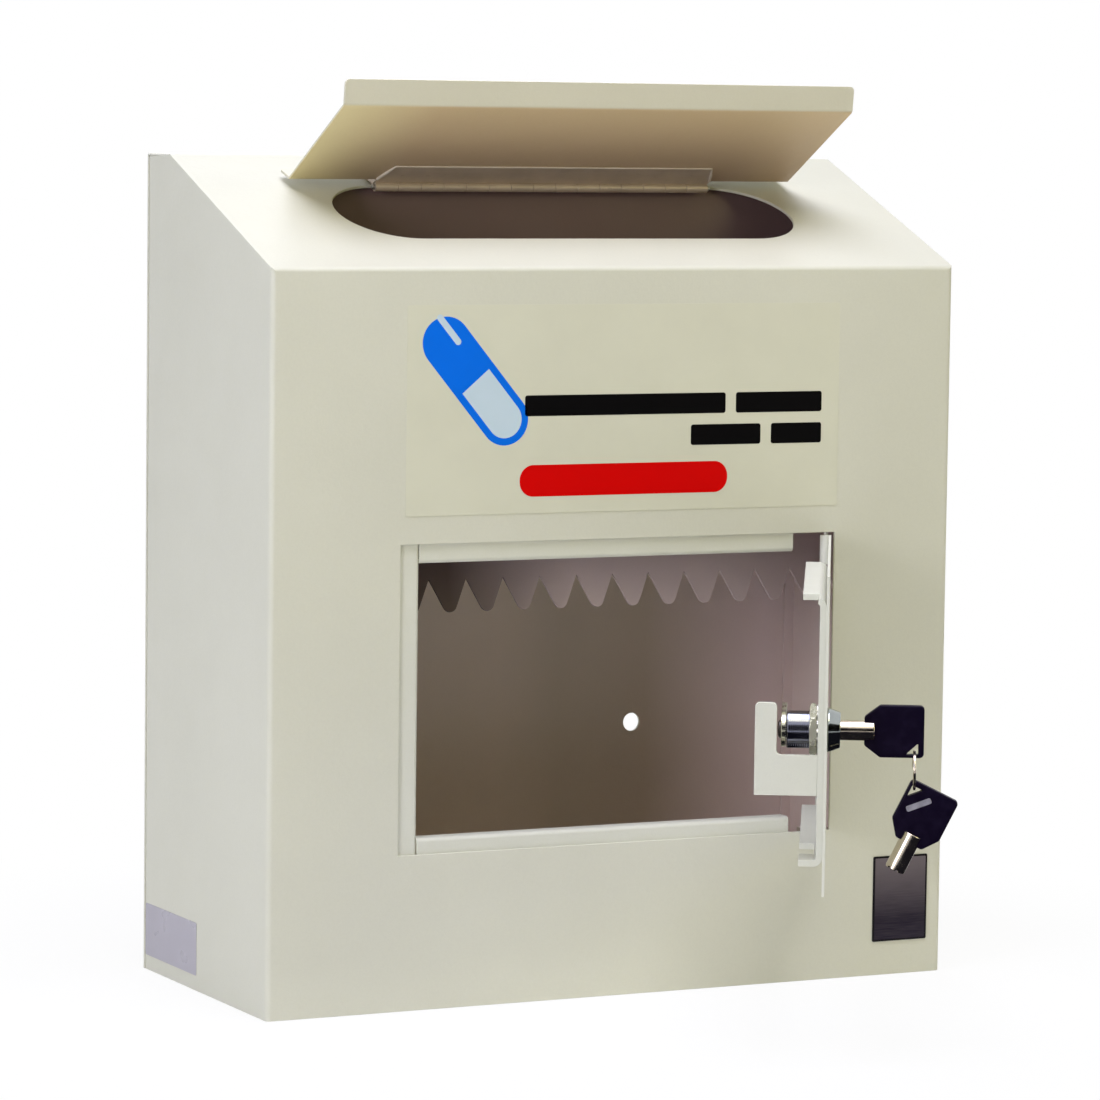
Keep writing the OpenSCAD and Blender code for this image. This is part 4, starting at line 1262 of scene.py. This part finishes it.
# Cam: a half round boss that runs into an arm with round corners, held by a domed screw
def makeCam():
    h, long, z, r = lock["camHalf"], lock["camLong"], lock["camTop"] - lock["camThick"], lock["screwR"]
    turn = np.linspace(math.pi / 2, 3 * math.pi / 2, 25)
    boss = np.stack([h * np.cos(turn), h * np.sin(turn)], 1)
    corner = roundCorners([[long - 6, -h], [long, -h], [long, h], [long - 6, h]], 2.9)
    outline = np.concatenate([boss, corner[np.abs(corner[:, 0] - long) < 3.1]])
    points, faces, caps = slab(outline, z, lock["camTop"], 0.35)
    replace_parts(joined("lockCam", [(onLock(points), faces, caps)], "lock", nutSteel, "steel"), "lock_cam")
    dome = [[0, z], [r, z], [r, z - 0.9], [r - 1.4, z - 1.6], [0, z - 1.7]]
    screw, faces = lathe(softProfile(dome, 0.4), 48, False)
    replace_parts(joined("camScrew", [(onLock(screw), faces)], "lock", lockSteel, "steel"), "cam_screw")


makeLockBody()
makeNutAndWasher()
makeCam()
print("lock")

# Keys

bow = {
    "thick": 5, "low": 16.9, "high": 44.2, "half": 12, "neck": 6.6, "shoulder": 7.2,
    "corner": 2.0, "edge": 0.8,
    "holeAt": (-7.6, 38.7), "hole": 2.9, "slant": 0.4,  # the three-cornered hole's middle and half size
    "barAt": (-3.9, 34.9), "barWay": (0.68, 0.73), "barLong": 12.0, "barWide": 2.7, "barProud": 0.12,
}


# Shank: a tube with seven round cuts in its open end, closed and domed inside the bow
def keyShank():
    r, inner, start, end, cuts = (lock[k] for k in ("tubeR", "bore", "tubeStart", "tubeEnd", "tubeCuts"))
    turn = np.linspace(0, 2 * math.pi, 24 * cuts, endpoint=False)
    # share of the pitch from the nearest cut, the first of which lies 12 degrees on
    off = (turn * cuts / (2 * math.pi) - cuts * 12 / 360 + 0.5) % 1 - 0.5
    cut = np.sqrt(np.maximum(lock["cutR"] ** 2 - (off * 2 * math.pi / cuts * r) ** 2, 0))
    soft, boreEnd = 0.25, 17  # the open end's rounding, and where the bore stops
    profile = softProfile([[r, 16.0], [r, end - 0.2], [r - 1.6, end], [0, end]], 1.2, 5)
    outside, inside = [[r - soft], [r], [r]], [[0], [inner], [inner], [inner + soft]]
    radius = np.concatenate([outside, profile[1:, :1], inside])
    rim, clear, flat = start + cut, start + soft + cut, np.ones(len(turn))
    level = [flat * z for z in (8, *profile[1:, 1], boreEnd, boreEnd)]
    height = np.stack([rim, clear, *level, clear, rim])
    return polarNet(radius, height, len(turn))


# Bow: shoulders by the shank, square at the far end, with a three-cornered hole for the ring
def keyBow():
    neck, half, low, high, hole = (bow[k] for k in ("neck", "half", "low", "high", "hole"))
    wide = low + bow["shoulder"]
    corners = [[-neck, low], [neck, low], [half, wide], [half, high], [-half, high], [-half, wide]]
    outline = roundCorners(corners, bow["corner"], 6)
    three = [[-hole, hole], [-hole, -hole], [hole - bow["slant"], hole]]
    hole = bow["holeAt"] + roundCorners(three, 0.35, 4)
    middle = np.array(bow["holeAt"]) + [-0.9, 0.9]
    points, faces = holedPlate(outline, hole, middle, -bow["thick"] / 2, bow["thick"] / 2, bow["edge"])
    return points[:, [2, 0, 1]], faces


# Small grey bar on one face of the bow, along the slanted side of the hole
def bowBar():
    along = unit(np.array(bow["barWay"]))
    way = np.stack([along, leftOf(along)])
    half = [bow["barLong"] / 2, bow["barWide"] / 2]
    corners = bow["barAt"] + np.array([[-1, -1], [1, -1], [1, 1], [-1, 1]]) * half @ way
    face = bow["thick"] / 2
    points, faces, caps = slab(roundCorners(corners, 0.8), face - 0.2, face + bow["barProud"], 0.1)
    return points[:, [2, 0, 1]], faces, caps


# Split ring: two turns of one wire, r = ring, rising by half the wire's thickness on each turn
def makeRing():
    turns = np.linspace(0, 4 * math.pi, 241)[:, None]
    wire, across = lock["wire"] / 4, 16
    around = np.linspace(0, 2 * math.pi, across, endpoint=False)
    reach = lock["ring"] + wire * np.cos(around)
    height = (turns / (4 * math.pi) - 0.5) * wire * 2 + wire * np.sin(around)
    points = np.stack([np.cos(turns) * reach, np.sin(turns) * reach, height], -1).reshape(-1, 3)
    points = points + [0, lock["hang"][0] - lock["ring"], lock["hang"][1]]
    last = len(points)
    caps = [range(across), range(last - 1, last - across - 1, -1)]
    shape = (onLock(points), gridFaces(len(turns), across, closeCols=True), caps)
    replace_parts(joined("keyRing", [shape], "ring", keySteel, "steel", 50), "key_ring")


def makeKeys():
    looks = (("Shank", keyShank(), keySteel, "lock_chrome", 50, "_tube"),
             ("Bow", keyBow(), bowPlastic, "key_plastic", None, "_bow"),
             ("BowBar", bowBar(), greyInlay, "key_plastic", None, None))
    for name, body, place in (("key", "key", onLock), ("spareKey", "spare_key", onSpare)):
        for part, shape, material, slot, sharp, node in looks:
            piece = joined(name + part, [(place(shape[0]), *shape[1:])], body, material, slot, sharp)
            if node:
                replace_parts(piece, body + node)


makeKeys()
makeRing()
print("keys")

# Labels

label = {
    "thick": 0.2, "ink": 0.05, "left": -114.5, "right": 119.5, "low": 237, "high": 337,
    "capsuleAt": (-78.6, 300.7), "tilt": -50, "capsule": (73, 25), "pale": (66, 18),  # length and width
    "shineFrom": (-14.2, 24.6), "shine": (18, 3.2),
    # left, right, low and high of each dark bar, and of the red one
    "bars": ((-52.4, 56.3, 283.6, 293.6), (62.0, 109.9, 283.6, 293.6),
             (37.4, 75.9, 268.2, 278.2), (81.7, 109.9, 268.2, 278.2)),
    "pill": (-54.8, 57.8, 245.0, 260.2),
}


# Thin shape on the front face: an outline in x and z, from one depth in front of the panel to another
def onFront(outline, near, far, r=0.02):
    points, faces, caps = slab(outline, near, far, r)
    return np.stack([points[:, 0], frontY - points[:, 2], points[:, 1]], 1), faces, caps


# Printed shapes on the film: layer counts the inks that lie under and over each other
def printed(name, outlines, material, layer=1):
    top = label["thick"] + layer * label["ink"]
    shapes = [onFront(outline, label["thick"] - 0.02, top, 0.01) for outline in outlines]
    joined(name, shapes, "box", material, "label_film")


# Capsule outline of a length and width, tilted about its middle, or only the half beyond its middle
def capsule(middle, size, half=False):
    length, width = size
    r, straight = width / 2, (length - width) / 2
    turn = np.linspace(-math.pi / 2, math.pi / 2, 25)
    end = np.stack([straight + r * np.cos(turn), r * np.sin(turn)], 1)
    outline = np.concatenate([[[0, -r]], end, [[0, r]]] if half else [end, -end])
    a = math.radians(label["tilt"])
    return np.asarray(middle) + outline @ np.array([[math.cos(a), math.sin(a)], [-math.sin(a), math.cos(a)]])


# Clear film with a blue capsule, plain dark bars in two lines and a plain red bar
def makeLabel():
    sheet = rectangle(label["left"], label["right"], label["low"], label["high"])
    film = onFront(roundCorners(sheet, 1.0), 0.0, label["thick"], 0.05)
    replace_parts(joined("frontLabel", [film], "box", labelFilm, "label_film"), "front_label")
    middle = np.array(label["capsuleAt"])
    printed("labelCapsule", [capsule(middle, label["capsule"])], blueInk)
    printed("labelCapsuleHalf", [capsule(middle, label["pale"], True)], paleBlueInk, 2)
    # a stripe of light along the dark half
    printed("labelCapsuleShine", [capsule(middle + label["shineFrom"], label["shine"])], paleBlueInk, 2)
    printed("labelBars", [roundCorners(rectangle(*bar), 1.2) for bar in label["bars"]], blackInk)
    printed("labelPill", [roundCorners(rectangle(*label["pill"]), 7.2, 10)], redInk)


plates = {
    "name": (144.3, 175.3, 17.0, 60.0), "nameThick": 0.6, "border": 1.0,  # left, right, low and high
    "side": (87.4, 154.3, 7.5, 33.5),  # front and rear, from the front panel, low and high
}


# Nameplate: black edge round a bare shaded face; the side sticker is bare silver film
def makePlates():
    x0, x1, z0, z1 = plates["name"]
    rim, thick = plates["border"], plates["nameThick"]
    edge = onFront(roundCorners(rectangle(x0, x1, z0, z1), 0.8), 0.0, thick, 0.15)
    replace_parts(joined("nameplate", [edge], "box", plateEdge, "nameplate"), "nameplate")
    bare = roundCorners(rectangle(x0 + rim, x1 - rim, z0 + rim, z1 - rim), 0.5)
    face = onFront(bare, thick - 0.02, thick + 0.04, 0.02)
    joined("nameplateFace", [face], "box", plateFace, "nameplate")
    y0, y1, z0, z1 = plates["side"]
    outline = roundCorners(rectangle(frontY + y0, frontY + y1, z0, z1), 1.0)
    points, faces, caps = slab(outline, 0.0, label["thick"], 0.05)
    sticker = np.stack([-halfW - points[:, 2], points[:, 0], points[:, 1]], 1)
    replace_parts(joined("sideLabel", [(sticker, faces, caps)], "box", silverFilm, "silver_film"), "side_label")


makeLabel()
makePlates()
print("labels")

# Finishes on the nodes that stay

stay = {
    "back_panel": creamPaintShadedInside, "base_panel": creamPaintShadedInside,
    "upper_pivot_plate": creamPaintShadedInside, "lower_pivot_plate": creamPaintShadedInside,
    "upper_pivot_pin": zincSteel, "lower_pivot_pin": zincSteel, "lock_core": lockSteel,
}
for name, material in stay.items():
    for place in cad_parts[name].material_slots:
        place.material = material
print("finishes")
